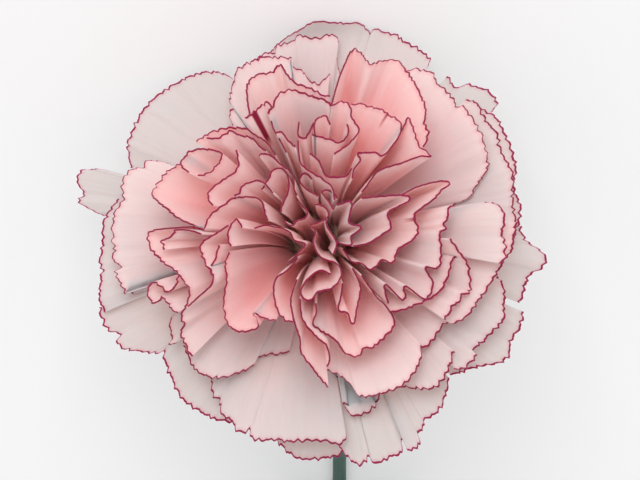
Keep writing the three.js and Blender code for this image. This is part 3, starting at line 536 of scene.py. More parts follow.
RINGS = (
    Ring(Layer.GUARD, 22, 6.2, 11, 15, 0.8, 240, (
        Petal(0.03, ((131, 168), (129, 150), (136, 125), (146, 108), (162, 91), (185, 80), (205, 73),
              (228, 76), (238, 88)), 84),
        Petal(0.08, ((256, 62), (268, 53), (278, 45), (290, 37), (302, 29), (314, 22), (325, 21),
              (335, 22), (348, 24), (363, 26), (370, 34), (376, 30), (390, 33), (399, 36), (406, 42),
              (419, 49), (430, 58), (428, 67)), 84),
        Petal(0, ((447, 76), (457, 86), (469, 84), (478, 88), (490, 93), (497, 104), (491, 113)), 87),
        Petal(0.1, ((478, 104), (490, 112), (497, 116), (506, 138), (513, 153), (516, 169), (514, 182),
              (517, 193), (521, 216), (517, 228), (513, 245)), 82),
        Petal(0, ((521, 226), (527, 240), (540, 250), (546, 258), (541, 268), (530, 275), (524, 288),
              (519, 303)), 88),
        Petal(0, ((524, 312), (520, 328), (511, 341), (509, 353), (502, 362), (479, 367), (463, 372),
              (451, 376)), 84),
        Petal(0, ((449, 378), (446, 398), (438, 412), (424, 420), (424, 427), (419, 435), (420, 443),
              (415, 450), (407, 448), (402, 431), (401, 452), (393, 456), (375, 464), (370, 457),
              (361, 466), (348, 458), (339, 448)), 80),
        Petal(0, ((345, 450), (335, 458), (320, 461), (300, 459), (283, 449), (276, 438)), 88),
        Petal(0, ((236, 424), (211, 420), (197, 411), (180, 398), (175, 390), (174, 380), (169, 373),
              (167, 365), (163, 358), (167, 348)), 84),
        Petal(0.05, ((167, 351), (154, 353), (139, 352), (126, 349), (117, 343), (120, 335), (108, 330),
              (104, 321), (101, 308)), 85),
        Petal(0.05, ((104, 312), (99, 300), (100, 287), (102, 272), (99, 257), (102, 245), (104, 228),
              (109, 213), (118, 199)), 80),
        Petal(0, ((106, 216), (90, 209), (80, 203), (79, 200), (84, 193), (79, 187), (77, 178), (81, 172),
              (88, 170), (110, 172), (130, 178)), 88),
    )),
    Ring(Layer.OUTER, 20, 5.8, 11, 15, 0.75, 240, (
        Petal(0.15, ((211, 380), (211, 390), (213, 399), (218, 401), (221, 415), (232, 422), (236, 432),
              (243, 435), (250, 431), (254, 440), (276, 441), (301, 442), (325, 442), (340, 445),
              (346, 437), (340, 412)), 76),
        Petal(0.3, ((183, 345), (188, 359), (195, 371), (211, 378), (225, 378), (234, 376), (251, 369),
              (258, 359), (269, 356), (289, 352)), 68),
        Petal(0.55, ((170, 164), (157, 161), (145, 161), (142, 168), (131, 170), (121, 185), (123, 200),
              (116, 212), (112, 230), (114, 249), (113, 259), (120, 267), (115, 272), (119, 281),
              (127, 294), (129, 285), (136, 275), (148, 266), (160, 258)), 72),
        Petal(0.4, ((250, 66), (264, 53), (274, 54), (279, 45), (294, 41), (297, 35), (308, 37),
              (320, 39), (330, 36), (338, 39), (336, 58), (340, 75), (338, 84)), 77),
        Petal(0.4, ((234, 128), (230, 113), (234, 108), (230, 101), (234, 80), (238, 68), (257, 60),
              (275, 57), (290, 57), (291, 65), (301, 69), (307, 77), (317, 83), (324, 79), (330, 74)),
              69),
        Petal(0.65, ((406, 70), (420, 70), (433, 73), (436, 80), (450, 94), (459, 105), (466, 106),
              (469, 115), (481, 131), (484, 141), (488, 157), (487, 170), (478, 183), (470, 197),
              (459, 202), (450, 208)), 70),
        Petal(0.35, ((466, 100), (478, 103), (483, 115), (497, 133), (502, 150), (513, 175), (513, 200),
              (517, 225)), 76),
        Petal(0.25, ((496, 276), (505, 286), (505, 300), (504, 318), (495, 330), (484, 342), (475, 350),
              (476, 358), (462, 369), (450, 366)), 74),
        Petal(0.4, ((455, 352), (449, 370), (438, 386), (424, 389), (412, 388), (398, 387)), 70),
        Petal(0.3, ((379, 398), (374, 408), (365, 414), (353, 416), (344, 405), (342, 386)), 73),
        Petal(0.4, ((331, 373), (343, 382), (345, 393), (344, 405), (358, 403), (374, 403), (380, 395)),
              72),
        Petal(0.5, ((124, 280), (130, 293), (140, 292), (149, 290), (160, 292), (172, 296)), 78),
        Petal(0.3, ((181, 314), (174, 315), (170, 323), (172, 338), (169, 345), (176, 343)), 72),
    )),
    Ring(Layer.MIDDLE, 18, 5.2, 12, 12, 0.6, 200, (
        Petal(0.5, ((517, 222), (512, 250), (502, 263), (489, 286), (469, 314), (454, 323), (444, 323),
              (429, 343), (421, 348), (411, 348), (409, 344), (398, 352), (380, 346)), 64),
        Petal(0.7, ((422, 346), (421, 359), (416, 371), (404, 384), (386, 392), (361, 397), (353, 387),
              (341, 376), (326, 369)), 62),
        Petal(0.3, ((450, 239), (451, 232), (452, 228), (460, 221), (465, 212), (475, 205), (487, 202),
              (497, 204), (505, 214), (505, 224), (502, 233), (505, 241), (505, 256), (500, 263)), 57),
        Petal(0.55, ((450, 239), (460, 253), (468, 264), (470, 277), (470, 291), (463, 294), (459, 302),
              (453, 307), (445, 320)), extra=-1.5),
        Petal(0.95, ((331, 106), (338, 82), (344, 65), (355, 49), (369, 63), (380, 61), (391, 59),
              (400, 62), (408, 72), (419, 90), (426, 107), (425, 122), (429, 132), (424, 146)), extra=-1),
        Petal(0.6, ((250, 116), (247, 95), (247, 84), (255, 75), (271, 72), (280, 65), (287, 74),
              (295, 82), (305, 86), (319, 94), (329, 98)), extra=0),
        Petal(0.95, ((188, 153), (180, 163), (166, 172), (153, 190), (152, 196), (162, 205), (180, 219),
              (203, 228)), extra=-1),
        Petal(0.8, ((203, 230), (191, 227), (163, 229), (148, 234), (150, 248), (162, 261), (177, 272),
              (188, 285), (190, 292), (187, 304)), extra=-0.5),
        Petal(0.7, ((177, 268), (177, 277), (174, 287), (166, 293), (156, 284), (150, 285), (148, 295),
              (152, 303), (159, 301), (161, 297), (170, 306), (177, 313)), extra=-1.5),
        Petal(0.55, ((190, 300), (181, 315), (183, 325), (180, 334), (184, 343), (192, 357)), extra=-1.5),
        Petal(0.55, ((452, 206), (448, 212), (449, 218), (445, 223), (447, 229), (441, 234), (443, 248),
              (439, 268), (425, 267), (433, 284), (425, 299), (404, 285), (404, 301), (386, 285),
              (388, 303)), extra=-2),
        Petal(0.6, ((460, 256), (453, 261), (450, 272), (446, 284), (437, 296), (419, 304), (400, 311),
              (390, 313)), extra=-2.5),
        Petal(0.7, ((163, 250), (161, 241), (168, 238), (176, 230), (190, 231), (201, 234)), extra=0.5),
        Petal(0.6, ((245, 118), (251, 114), (260, 108), (265, 103), (271, 106), (268, 113)), extra=1.5,
              streak=Streak(1.7, 8.5, 0.75)),
    )),
    Ring(Layer.INNER, 20, 4.4, 12, 10, 0.5, 150, (
        Petal(1.1, ((229, 252), (225, 262), (226, 280), (223, 304), (225, 318), (230, 328), (241, 332),
              (257, 328), (257, 320), (253, 313), (263, 317), (276, 319)), extra=0),
        Petal(0.88, ((227, 226), (216, 233), (201, 243), (199, 251), (204, 264), (212, 275), (211, 285),
              (199, 296), (188, 306)), extra=1),
        Petal(0.88, ((203, 229), (206, 222), (209, 216), (222, 205), (230, 199), (240, 197), (256, 198),
              (263, 206), (268, 220)), extra=1),
        Petal(0.88, ((236, 150), (238, 165), (231, 174), (220, 181), (207, 193), (212, 205)), extra=1),
        Petal(0.88, ((234, 196), (239, 192), (243, 185), (257, 180), (265, 184), (272, 192)), extra=1.5),
        Petal(0.88, ((188, 172), (181, 165), (184, 155), (195, 149), (213, 150), (222, 154), (219, 162),
              (209, 172), (198, 176)), extra=0),
        Petal(0.95, ((197, 142), (203, 137), (219, 130), (232, 127), (247, 129), (255, 135), (266, 142),
              (275, 154)), extra=0),
        Petal(0.88, ((207, 138), (219, 138), (230, 131), (239, 135), (252, 138), (260, 147), (266, 151)),
              extra=1),
        Petal(0.55, ((286, 152), (275, 132), (271, 118), (275, 101), (280, 94), (291, 90), (301, 92),
              (314, 96), (325, 99), (331, 105)), extra=0.5),
        Petal(0.88, ((351, 105), (363, 104), (370, 107), (383, 110), (389, 115), (400, 121), (400, 132),
              (394, 143), (384, 155), (376, 152), (366, 152), (358, 153), (360, 160), (353, 170),
              (350, 180)), extra=0, streak=Streak(6.6, 3.6, 0.35)),
        Petal(0.88, ((401, 131), (405, 123), (408, 118), (414, 128), (419, 145), (430, 156), (421, 156),
              (401, 163), (380, 170), (370, 180), (360, 192)), extra=0),
        Petal(0.88, ((331, 106), (341, 101), (351, 107), (352, 117), (359, 130), (351, 141), (344, 147),
              (334, 154)), extra=0.5),
        Petal(0.7, ((398, 196), (417, 187), (440, 181), (450, 183), (442, 190), (432, 201), (422, 209),
              (415, 216), (418, 230), (411, 240), (398, 250), (393, 263), (383, 260), (376, 266),
              (369, 269), (361, 263), (351, 261), (343, 249)), extra=-2, streak=Streak(20, 3, 0.4)),
        Petal(0.55, ((362, 198), (385, 196), (405, 195), (410, 200), (399, 206), (388, 213), (391, 227),
              (386, 233), (376, 240), (364, 244), (352, 245)), extra=-1),
        Petal(0.88, ((316, 304), (316, 313), (313, 324), (325, 334), (336, 341), (345, 353), (359, 357),
              (363, 349), (373, 347), (386, 336), (393, 328), (394, 319), (386, 306), (376, 296),
              (362, 276)), extra=-1.5),
        Petal(0.88, ((343, 284), (340, 300), (339, 311), (348, 314), (351, 323), (355, 323), (357, 308),
              (360, 286), (352, 268)), extra=-1),
        Petal(0.95, ((298, 258), (285, 272), (276, 279), (273, 293), (277, 310), (285, 320), (293, 322)),
              extra=0),
        Petal(0.88, ((297, 280), (291, 298), (293, 318), (300, 340), (301, 352), (312, 367), (320, 378),
              (328, 387)), extra=0),
        Petal(0.88, ((300, 300), (302, 318), (312, 333), (326, 346), (330, 359), (327, 366)), extra=-0.5),
        Petal(0.95, ((242, 228), (237, 219), (230, 226), (227, 235), (230, 247)), extra=1.5),
        Petal(0.88, ((219, 245), (216, 257), (211, 268), (212, 276)), extra=0.5),
        Petal(0.88, ((276, 134), (281, 132), (288, 141), (295, 147)), extra=1.5),
    )),
    Ring(Layer.HEART, 18, 3.2, 12, 7, 0.4, 120, (
        Petal(0.9, ((310, 226), (315, 230), (313, 241), (320, 256), (336, 263), (341, 274), (333, 288),
              (318, 293), (311, 301), (303, 299), (301, 290), (308, 278), (320, 270), (330, 273)),
              extra=0.5),
        Petal(0.9, ((259, 156), (263, 154), (272, 157), (281, 165), (290, 172), (294, 181), (294, 189),
              (297, 196)), extra=1),
        Petal(0.9, ((262, 190), (268, 181), (272, 172), (279, 168), (286, 173), (289, 184), (287, 197),
              (282, 212)), extra=0.5),
        Petal(0.9, ((255, 228), (268, 225), (282, 229), (290, 233), (294, 240), (305, 243), (299, 251),
              (287, 263)), extra=0.5),
        Petal(0.35, ((337, 205), (351, 202), (349, 222), (361, 227), (351, 236), (351, 245), (335, 241)),
              extra=0.5),
        Petal(0.9, ((298, 140), (299, 154), (302, 165), (313, 173), (325, 181), (331, 186), (334, 200)),
              extra=0.5),
        Petal(0.9, ((315, 136), (314, 125), (318, 118), (325, 116), (330, 124)), extra=0.5),
        Petal(0.9, ((312, 134), (327, 139), (340, 142), (348, 134), (347, 124)), extra=0.5),
        Petal(0.9, ((310, 153), (319, 161), (322, 168), (328, 176), (345, 176), (352, 168)), extra=0),
        Petal(0.9, ((299, 122), (298, 134), (303, 138), (307, 135), (314, 122)), extra=0),
        Petal(0.9, ((326, 220), (328, 228), (336, 241), (337, 247), (334, 255)), extra=1.2),
    )),
    Ring(Layer.CENTRE, 14, 2.2, 10, 6, 0.3, 100, (
        Petal(1, ((311, 225), (319, 222), (328, 216), (326, 208), (316, 204)), extra=0),
        Petal(1, ((298, 200), (304, 208), (300, 220), (292, 226), (284, 222)), extra=0),
        Petal(1, ((318, 196), (308, 190), (300, 182), (304, 172), (312, 178)), extra=0),
        Petal(1, ((334, 210), (328, 200), (322, 192), (330, 190), (338, 198)), extra=0),
    )),
)


@dataclass
class Studio:
    """A plain pale floor, soft light, and the camera. Lengths in it are metres, but centre_height isn't."""

    elevation: float = math.radians(51.5)
    distance: float = 0.56
    bloom_width: float = 0.080
    bloom_pixels: float = 469.0
    centre_height: float = 33.0
    shift_right: float = 0.00085
    shift_up: float = -0.00167
    lamp_rise: float = 0.42
    lamp_left: float = 0.05
    lamp_distance: float = 1.6
    lamp_side: float = 0.9
    lamp_watts: float = 13.0
    world_strength: float = 0.74
    floor_size: float = 3.0
    floor_colour: Colour = (0.82, 0.82, 0.825)
    floor_glow: float = 0.16

    def build(self) -> None:
        """Set up the floor, light, camera and colour handling."""
        self.floor()
        self.world()
        right, up, back = (Vector(axis) for axis in self.axes())
        target = (HEAD.place() @ Vector((0, 0, self.centre_height))) * METRES_PER_MM
        target = target + right * self.shift_right + up * self.shift_up
        self.camera(target, right, up, back)
        self.lamp(target, back + up * self.lamp_rise - right * self.lamp_left)
        bpy.context.scene.view_settings.view_transform = "Standard"

    def axes(self) -> tuple[tuple[float, float, float], ...]:
        """The camera's right, up and back. It is rolled so that the stem points down in the picture."""
        s, c = math.sin(self.elevation), math.cos(self.elevation)
        return (-1.0, 0.0, 0.0), (0.0, -s, -c), (0.0, -c, s)

    def camera(self, target: Vector, right: Vector, up: Vector, back: Vector) -> None:
        """Make the camera."""
        data = bpy.data.cameras.new("camera")
        view_width = self.bloom_width * FRAME_WIDTH / self.bloom_pixels
        data.lens = data.sensor_width * self.distance / view_width
        camera = bpy.data.objects.new("camera", data)
        bpy.context.scene.collection.objects.link(camera)
        turn = Matrix((right, up, back)).transposed().to_4x4()
        camera.matrix_world = Matrix.Translation(target + back * self.distance) @ turn
        bpy.context.scene.camera = camera

    def lamp(self, target: Vector, towards: Vector) -> None:
        """Make the one lamp, a large square that gives soft light.

        Args:
            target: Where it points.
            towards: The way from the target to the lamp.
        """
        data = bpy.data.lights.new("key", "AREA")
        data.size = self.lamp_side
        data.energy = self.lamp_watts
        lamp = bpy.data.objects.new("key", data)
        bpy.context.scene.collection.objects.link(lamp)
        lamp.location = target + towards.normalized() * self.lamp_distance
        lamp.rotation_euler = towards.to_track_quat("Z", "Y").to_euler()

    def world(self) -> None:
        """Light everything evenly from all round."""
        world = bpy.data.worlds.new("studio")
        world.use_nodes = True
        back = world.node_tree.nodes["Background"]
        back.inputs[0].default_value = (1.0, 1.0, 1.0, 1.0)
        back.inputs[1].default_value = self.world_strength
        bpy.context.scene.world = world

    def floor(self) -> None:
        """Make the floor."""
        half = self.floor_size / 2
        mesh = bpy.data.meshes.new("floor")
        corners = [(-half, -half, 0), (half, -half, 0), (half, half, 0), (-half, half, 0)]
        mesh.from_pydata(corners, [], [(0, 1, 2, 3)])
        finish = bpy.data.materials.new("floor")
        finish.use_nodes = True
        shader = finish.node_tree.nodes["Principled BSDF"]
        shader.inputs["Base Color"].default_value = (*self.floor_colour, 1.0)
        shader.inputs["Emission Color"].default_value = (1.0, 1.0, 1.0, 1.0)
        shader.inputs["Emission Strength"].default_value = self.floor_glow
        shader.inputs["Roughness"].default_value = 0.9
        shader.inputs["Specular IOR Level"].default_value = 0.1
        mesh.materials.append(finish)
        floor = bpy.data.objects.new("floor", mesh)
        bpy.context.scene.collection.objects.link(floor)


STUDIO = Studio()


class Sight:
    """Works out where the petals' margins stand, from where they show in the picture.

    All points are worked out together. A point's petal bends as its ring does and rests on the surface,
    and the point is aimed until it shows at its own pixel. A petal that isn't told how far to open is
    as long as plain_length, and longer by plain_growth for each millimetre of its margin's radius.
    """

    aims: int = 10
    aim_step: float = 0.7
    first_height: float = 38.0
    height_steps: int = 60
    height_step: float = 0.4
    halvings: int = 40
    plain_length: float = 25.0
    plain_growth: float = 0.27
    shortest_outer_arc: float = 0.5
    longest: float = 60.0
    least_opening: float = math.radians(-25)
    greatest_opening: float = math.radians(92)
    straight: float = 1e-4

    def __init__(self, throat: float, throat_angle: float, least: float, softness: float) -> None:
        """Gather the points, and the camera's and head's own axes.

        Args:
            throat: Height of the petals' throat over the calyx's base.
            throat_angle: Their angle from the bloom's axis there.
            least: How far over the surface a petal rests at least.
            softness: Over what height it comes to rest.
        """
        self.throat, self.throat_angle, self.least, self.softness = throat, throat_angle, least, softness
        petals = [(ring, petal) for ring in RINGS for petal in ring.petals]
        self.sizes = [len(petal.margin) for _, petal in petals]
        self.pixels = np.array([point for _, petal in petals for point in petal.margin], float)
        self.droop = self.spread([math.radians(ring.droop) for ring, _ in petals])
        self.root = self.spread([ring.root for ring, _ in petals])
        self.bend = self.spread([ring.bend for ring, _ in petals])
        self.opening = self.spread([math.radians(petal.opening or 0) for _, petal in petals])
        self.extra = self.spread([petal.extra for _, petal in petals])
        self.opens_evenly = self.spread([petal.opening is not None for _, petal in petals])
        self.right, self.up, self.back = (np.array(axis) for axis in STUDIO.axes())
        s, c = math.sin(HEAD.tilt), math.cos(HEAD.tilt)
        lean = np.array([[-1, 0, 0], [0, -s, -c], [0, -c, s]])
        s, c = math.sin(HEAD.turn), math.cos(HEAD.turn)
        self.axes = np.array([[c, -s, 0], [s, c, 0], [0, 0, 1]]) @ lean
        self.base = np.array(HEAD.base())
        shift = self.right * STUDIO.shift_right + self.up * STUDIO.shift_up + self.back * STUDIO.distance
        self.eye = self.axes @ np.array([0, 0, STUDIO.centre_height]) + self.base + shift / METRES_PER_MM
        self.focal = STUDIO.bloom_pixels / STUDIO.bloom_width * STUDIO.distance

    def spread(self, values: list[float]) -> np.ndarray:
        """Give each point its petal's value."""
        return np.repeat(np.array(values), self.sizes)

    def margins(self) -> list[np.ndarray]:
        """Work out every petal's margin.

        Returns:
            For each petal its points' azimuth and opening in degrees, and distance from the throat in
            millimetres, to a tenth, as in the CAD model.
        """
        aims = self.pixels.copy()
        for _ in range(self.aims):
            aims += self.aim_step * (self.pixels - self.shown(*self.resolve(aims)))
        azimuth, opening, length, _, _ = self.resolve(aims)
        ends = np.cumsum(self.sizes)[:-1]
        azimuths = [np.unwrap(part, period=360.0) for part in np.split(np.degrees(azimuth) % 360.0, ends)]
        rows = np.stack([np.concatenate(azimuths), np.degrees(opening), length], axis=1)
        return np.split(np.round(rows, 1), ends)

    def resolve(self, pixels: np.ndarray) -> tuple[np.ndarray, ...]:
        """Find the points of the petals that show at pixels, before the petals rest.

        Args:
            pixels: Each point's pixel.

        Returns:
            Azimuths and openings in radians, distances from the throat, radii and heights.
        """
        origin = (self.eye - self.base) @ self.axes
        across = (pixels[:, :1] - FRAME_WIDTH / 2) / self.focal
        down = (FRAME_HEIGHT / 2 - pixels[:, 1:]) / self.focal
        ray = (self.right * across + self.up * down - self.back) @ self.axes
        height = np.full(len(pixels), self.first_height)
        for _ in range(self.height_steps):
            x, y, _ = (origin + ray * ((height - origin[2]) / ray[:, 2])[:, None]).T
            radius = np.hypot(x, y)
            opening, length = self.fit(radius)
            height = height + self.height_step * (self.midline(opening, length)[1] - height)
        return np.arctan2(y, x), opening, length, radius, height

    def fit(self, radius: np.ndarray) -> tuple[np.ndarray, np.ndarray]:
        """Open or lengthen the petals until their margins have given radii, by halving."""
        plain = self.plain_length + self.plain_growth * radius + self.extra
        low = np.where(self.opens_evenly, self.bend + self.shortest_outer_arc, self.least_opening)
        high = np.where(self.opens_evenly, self.longest, self.greatest_opening)
        for _ in range(self.halvings):
            middle = (low + high) / 2
            straight = np.abs(middle - self.throat_angle) < self.straight
            middle = np.where(straight & ~self.opens_evenly, middle + 2 * self.straight, middle)
            opening = np.where(self.opens_evenly, self.opening, middle)
            short = self.midline(opening, np.where(self.opens_evenly, middle, plain))[0] < radius
            low = np.where(short, middle, low)
            high = np.where(short, high, middle)
        return np.where(self.opens_evenly, self.opening, low), np.where(self.opens_evenly, low, plain)

    def midline(self, opening: np.ndarray, length: np.ndarray) -> tuple[np.ndarray, np.ndarray]:
        """Radius and height of the margin of petals that open so far and are so long."""
        first = (opening - self.throat_angle) / self.bend
        second = self.droop / (length - self.bend)
        far = opening + self.droop
        radius = (math.cos(self.throat_angle) - np.cos(opening)) / first
        radius = radius + (np.cos(opening) - np.cos(far)) / second
        height = (np.sin(opening) - math.sin(self.throat_angle)) / first
        height = height + (np.sin(far) - np.sin(opening)) / second
        return radius + self.root, height + self.throat

    def shown(self, azimuth: np.ndarray, opening: np.ndarray, length: np.ndarray, radius: np.ndarray,
              height: np.ndarray) -> np.ndarray:
        """The pixels where resolved points show once their petals rest on the surface."""
        inside = np.stack([radius * np.cos(azimuth), radius * np.sin(azimuth), height], axis=1)
        place = inside @ self.axes.T + self.base
        below = (self.least + self.softness - place[:, 2]) / self.softness
        rested = self.least + self.softness / (1 + np.maximum(below, 0))
        place[:, 2] = np.where(below > 0, rested, place[:, 2])
        away = place - self.eye
        scale = -self.focal / (away @ self.back)
        return np.stack([FRAME_WIDTH / 2 + away @ self.right * scale,
                         FRAME_HEIGHT / 2 - away @ self.up * scale], axis=1)


@dataclass(frozen=True)
class PetalFinish:
    """Thin petal skin: pale towards the margin, salmon at its base, with a fine crimson edge."""

    guard: Colour = linear(194, 190, 189)
    pale: Colour = linear(240, 216, 214)
    salmon: Colour = linear(250, 180, 180)
    # painted shade: a dusky rose that petals with blush_and_shade over 1 are darkened towards, for faces
    # turned from the light
    painted_shade_rose: Colour = linear(206, 134, 136)
    claw: Colour = linear(222, 184, 168)
    halo: Colour = linear(204, 60, 112)
    edge: Colour = linear(118, 0, 54)
    inner_edge: Colour = linear(116, 6, 46)
    line: float = 0.42
    thinner: float = 0.2
    stretch: float = 0.06
    vein_scale: float = 1.6
    cloud_scale: float = 0.16
    wander_scale: float = 1.1
    stray_scale: float = 0.12
    blur: float = 0.1
    mark_blur: float = 0.3
    roughness: float = 0.58
    gloss: float = 0.28
    subsurface: float = 0.8
    subsurface_reach: Colour = (1.0, 0.6, 0.55)
    subsurface_scale: float = 0.0016
    sheen: float = 0.12
    relief: float = 0.35
    relief_height: float = 0.0002
    relief_scale: float = 2.6

    def build(self) -> bpy.types.Material:
        """Make the material.

        Returns:
            A material that reads the petals' own map and attributes.
        """
        made = bpy.data.materials.new("petal_skin")
        made.use_nodes = True
        graph = Graph(made.node_tree)
        shader = made.node_tree.nodes["Principled BSDF"]
        maps = graph.node("ShaderNodeUVMap", uv_map=SURFACE_MAP)
        across, inward, _ = graph.parts(maps.outputs[0])
        blush_and_shade, seed, share, streak = (
            self.read(graph, name) for name in ("blush_and_shade", "seed", "share", "streak")
        )
        flow = graph.vector(across, inward * self.stretch, 0.0)
        along = graph.vector(across, 0.0, 0.0)
        vein = graph.grain(flow, seed, self.vein_scale, 3.0)
        cloud = graph.grain(graph.vector(across * 0.5, inward * 0.5, 0.0), seed, self.cloud_scale, 2.0)
        wander = graph.grain(along, seed + 7.0, self.wander_scale, 3.0)
        stray = graph.grain(along, seed + 9.0, self.stray_scale, 1.0)
        depth = (share + cloud * 0.35 + vein * 0.1).ease(1.06, 0.5)
        warm = (depth * blush_and_shade * 0.85 + blush_and_shade * 0.5).least(1.0)
        tip = self.mix(graph, (blush_and_shade * 1.4).least(1.0), self.guard, self.pale)
        body = self.mix(graph, warm, tip, self.salmon)
        # painted shade: blush_and_shade over 1 darkens the body towards the dusky rose
        body = self.mix(graph, (blush_and_shade - 1.0).most(0.0) * 2.0, body, self.painted_shade_rose)
        body = self.mix(graph, share.ease(0.42, 0.12), body, self.claw)
        body = self.mix(graph, (vein * 0.5 + 0.05).most(0.0) * (blush_and_shade * 0.8 + 0.2), body, self.salmon)
        bleed = inward.ease(1.2, 0.2) * (0.22 + wander * 0.5).most(0.0)
        body = self.mix(graph, bleed, body, self.halo)
        ink = self.mix(graph, blush_and_shade, self.edge, self.inner_edge)
        width = wander * 0.35 + stray * (blush_and_shade * 0.4 + 0.15) + self.line - blush_and_shade * self.thinner
        line = ((width - inward) / self.blur).most(0.0).least(1.0)
        body = self.mix(graph, line, body, ink)
        mark = ((streak + wander * 0.6) / self.mark_blur).most(0.0).least(1.0)
        body = self.mix(graph, mark, body, ink)
        graph.feed(shader.inputs["Base Color"], body)
        shader.inputs["Roughness"].default_value = self.roughness
        shader.inputs["Specular IOR Level"].default_value = self.gloss
        shader.inputs["Subsurface Weight"].default_value = self.subsurface
        shader.inputs["Subsurface Radius"].default_value = self.subsurface_reach
        shader.inputs["Subsurface Scale"].default_value = self.subsurface_scale
        shader.inputs["Sheen Weight"].default_value = self.sheen
        bump = graph.node("ShaderNodeBump")
        bump.inputs["Strength"].default_value = self.relief
        bump.inputs["Distance"].default_value = self.relief_height
        graph.feed(bump.inputs["Height"], graph.grain(flow, seed, self.relief_scale, 3.0))
        graph.feed(shader.inputs["Normal"], bump.outputs[0])
        return made

    def read(self, graph: Graph, name: str) -> Field:
        """Read a number that the petals carry."""
        made = graph.node("ShaderNodeAttribute", attribute_name=name)
        return Field(graph, made.outputs["Fac"])

    def mix(self, graph: Graph, share: Field, low: object, high: object) -> bpy.types.NodeSocket:
        """Mix two colours, each a socket or a plain colour."""
        made = graph.node("ShaderNodeMix", data_type="RGBA")
        graph.feed(made.inputs[0], share)
        graph.feed(made.inputs[6], low if isinstance(low, bpy.types.NodeSocket) else (*low, 1.0))
        graph.feed(made.inputs[7], high if isinstance(high, bpy.types.NodeSocket) else (*high, 1.0))
        return made.outputs[2]


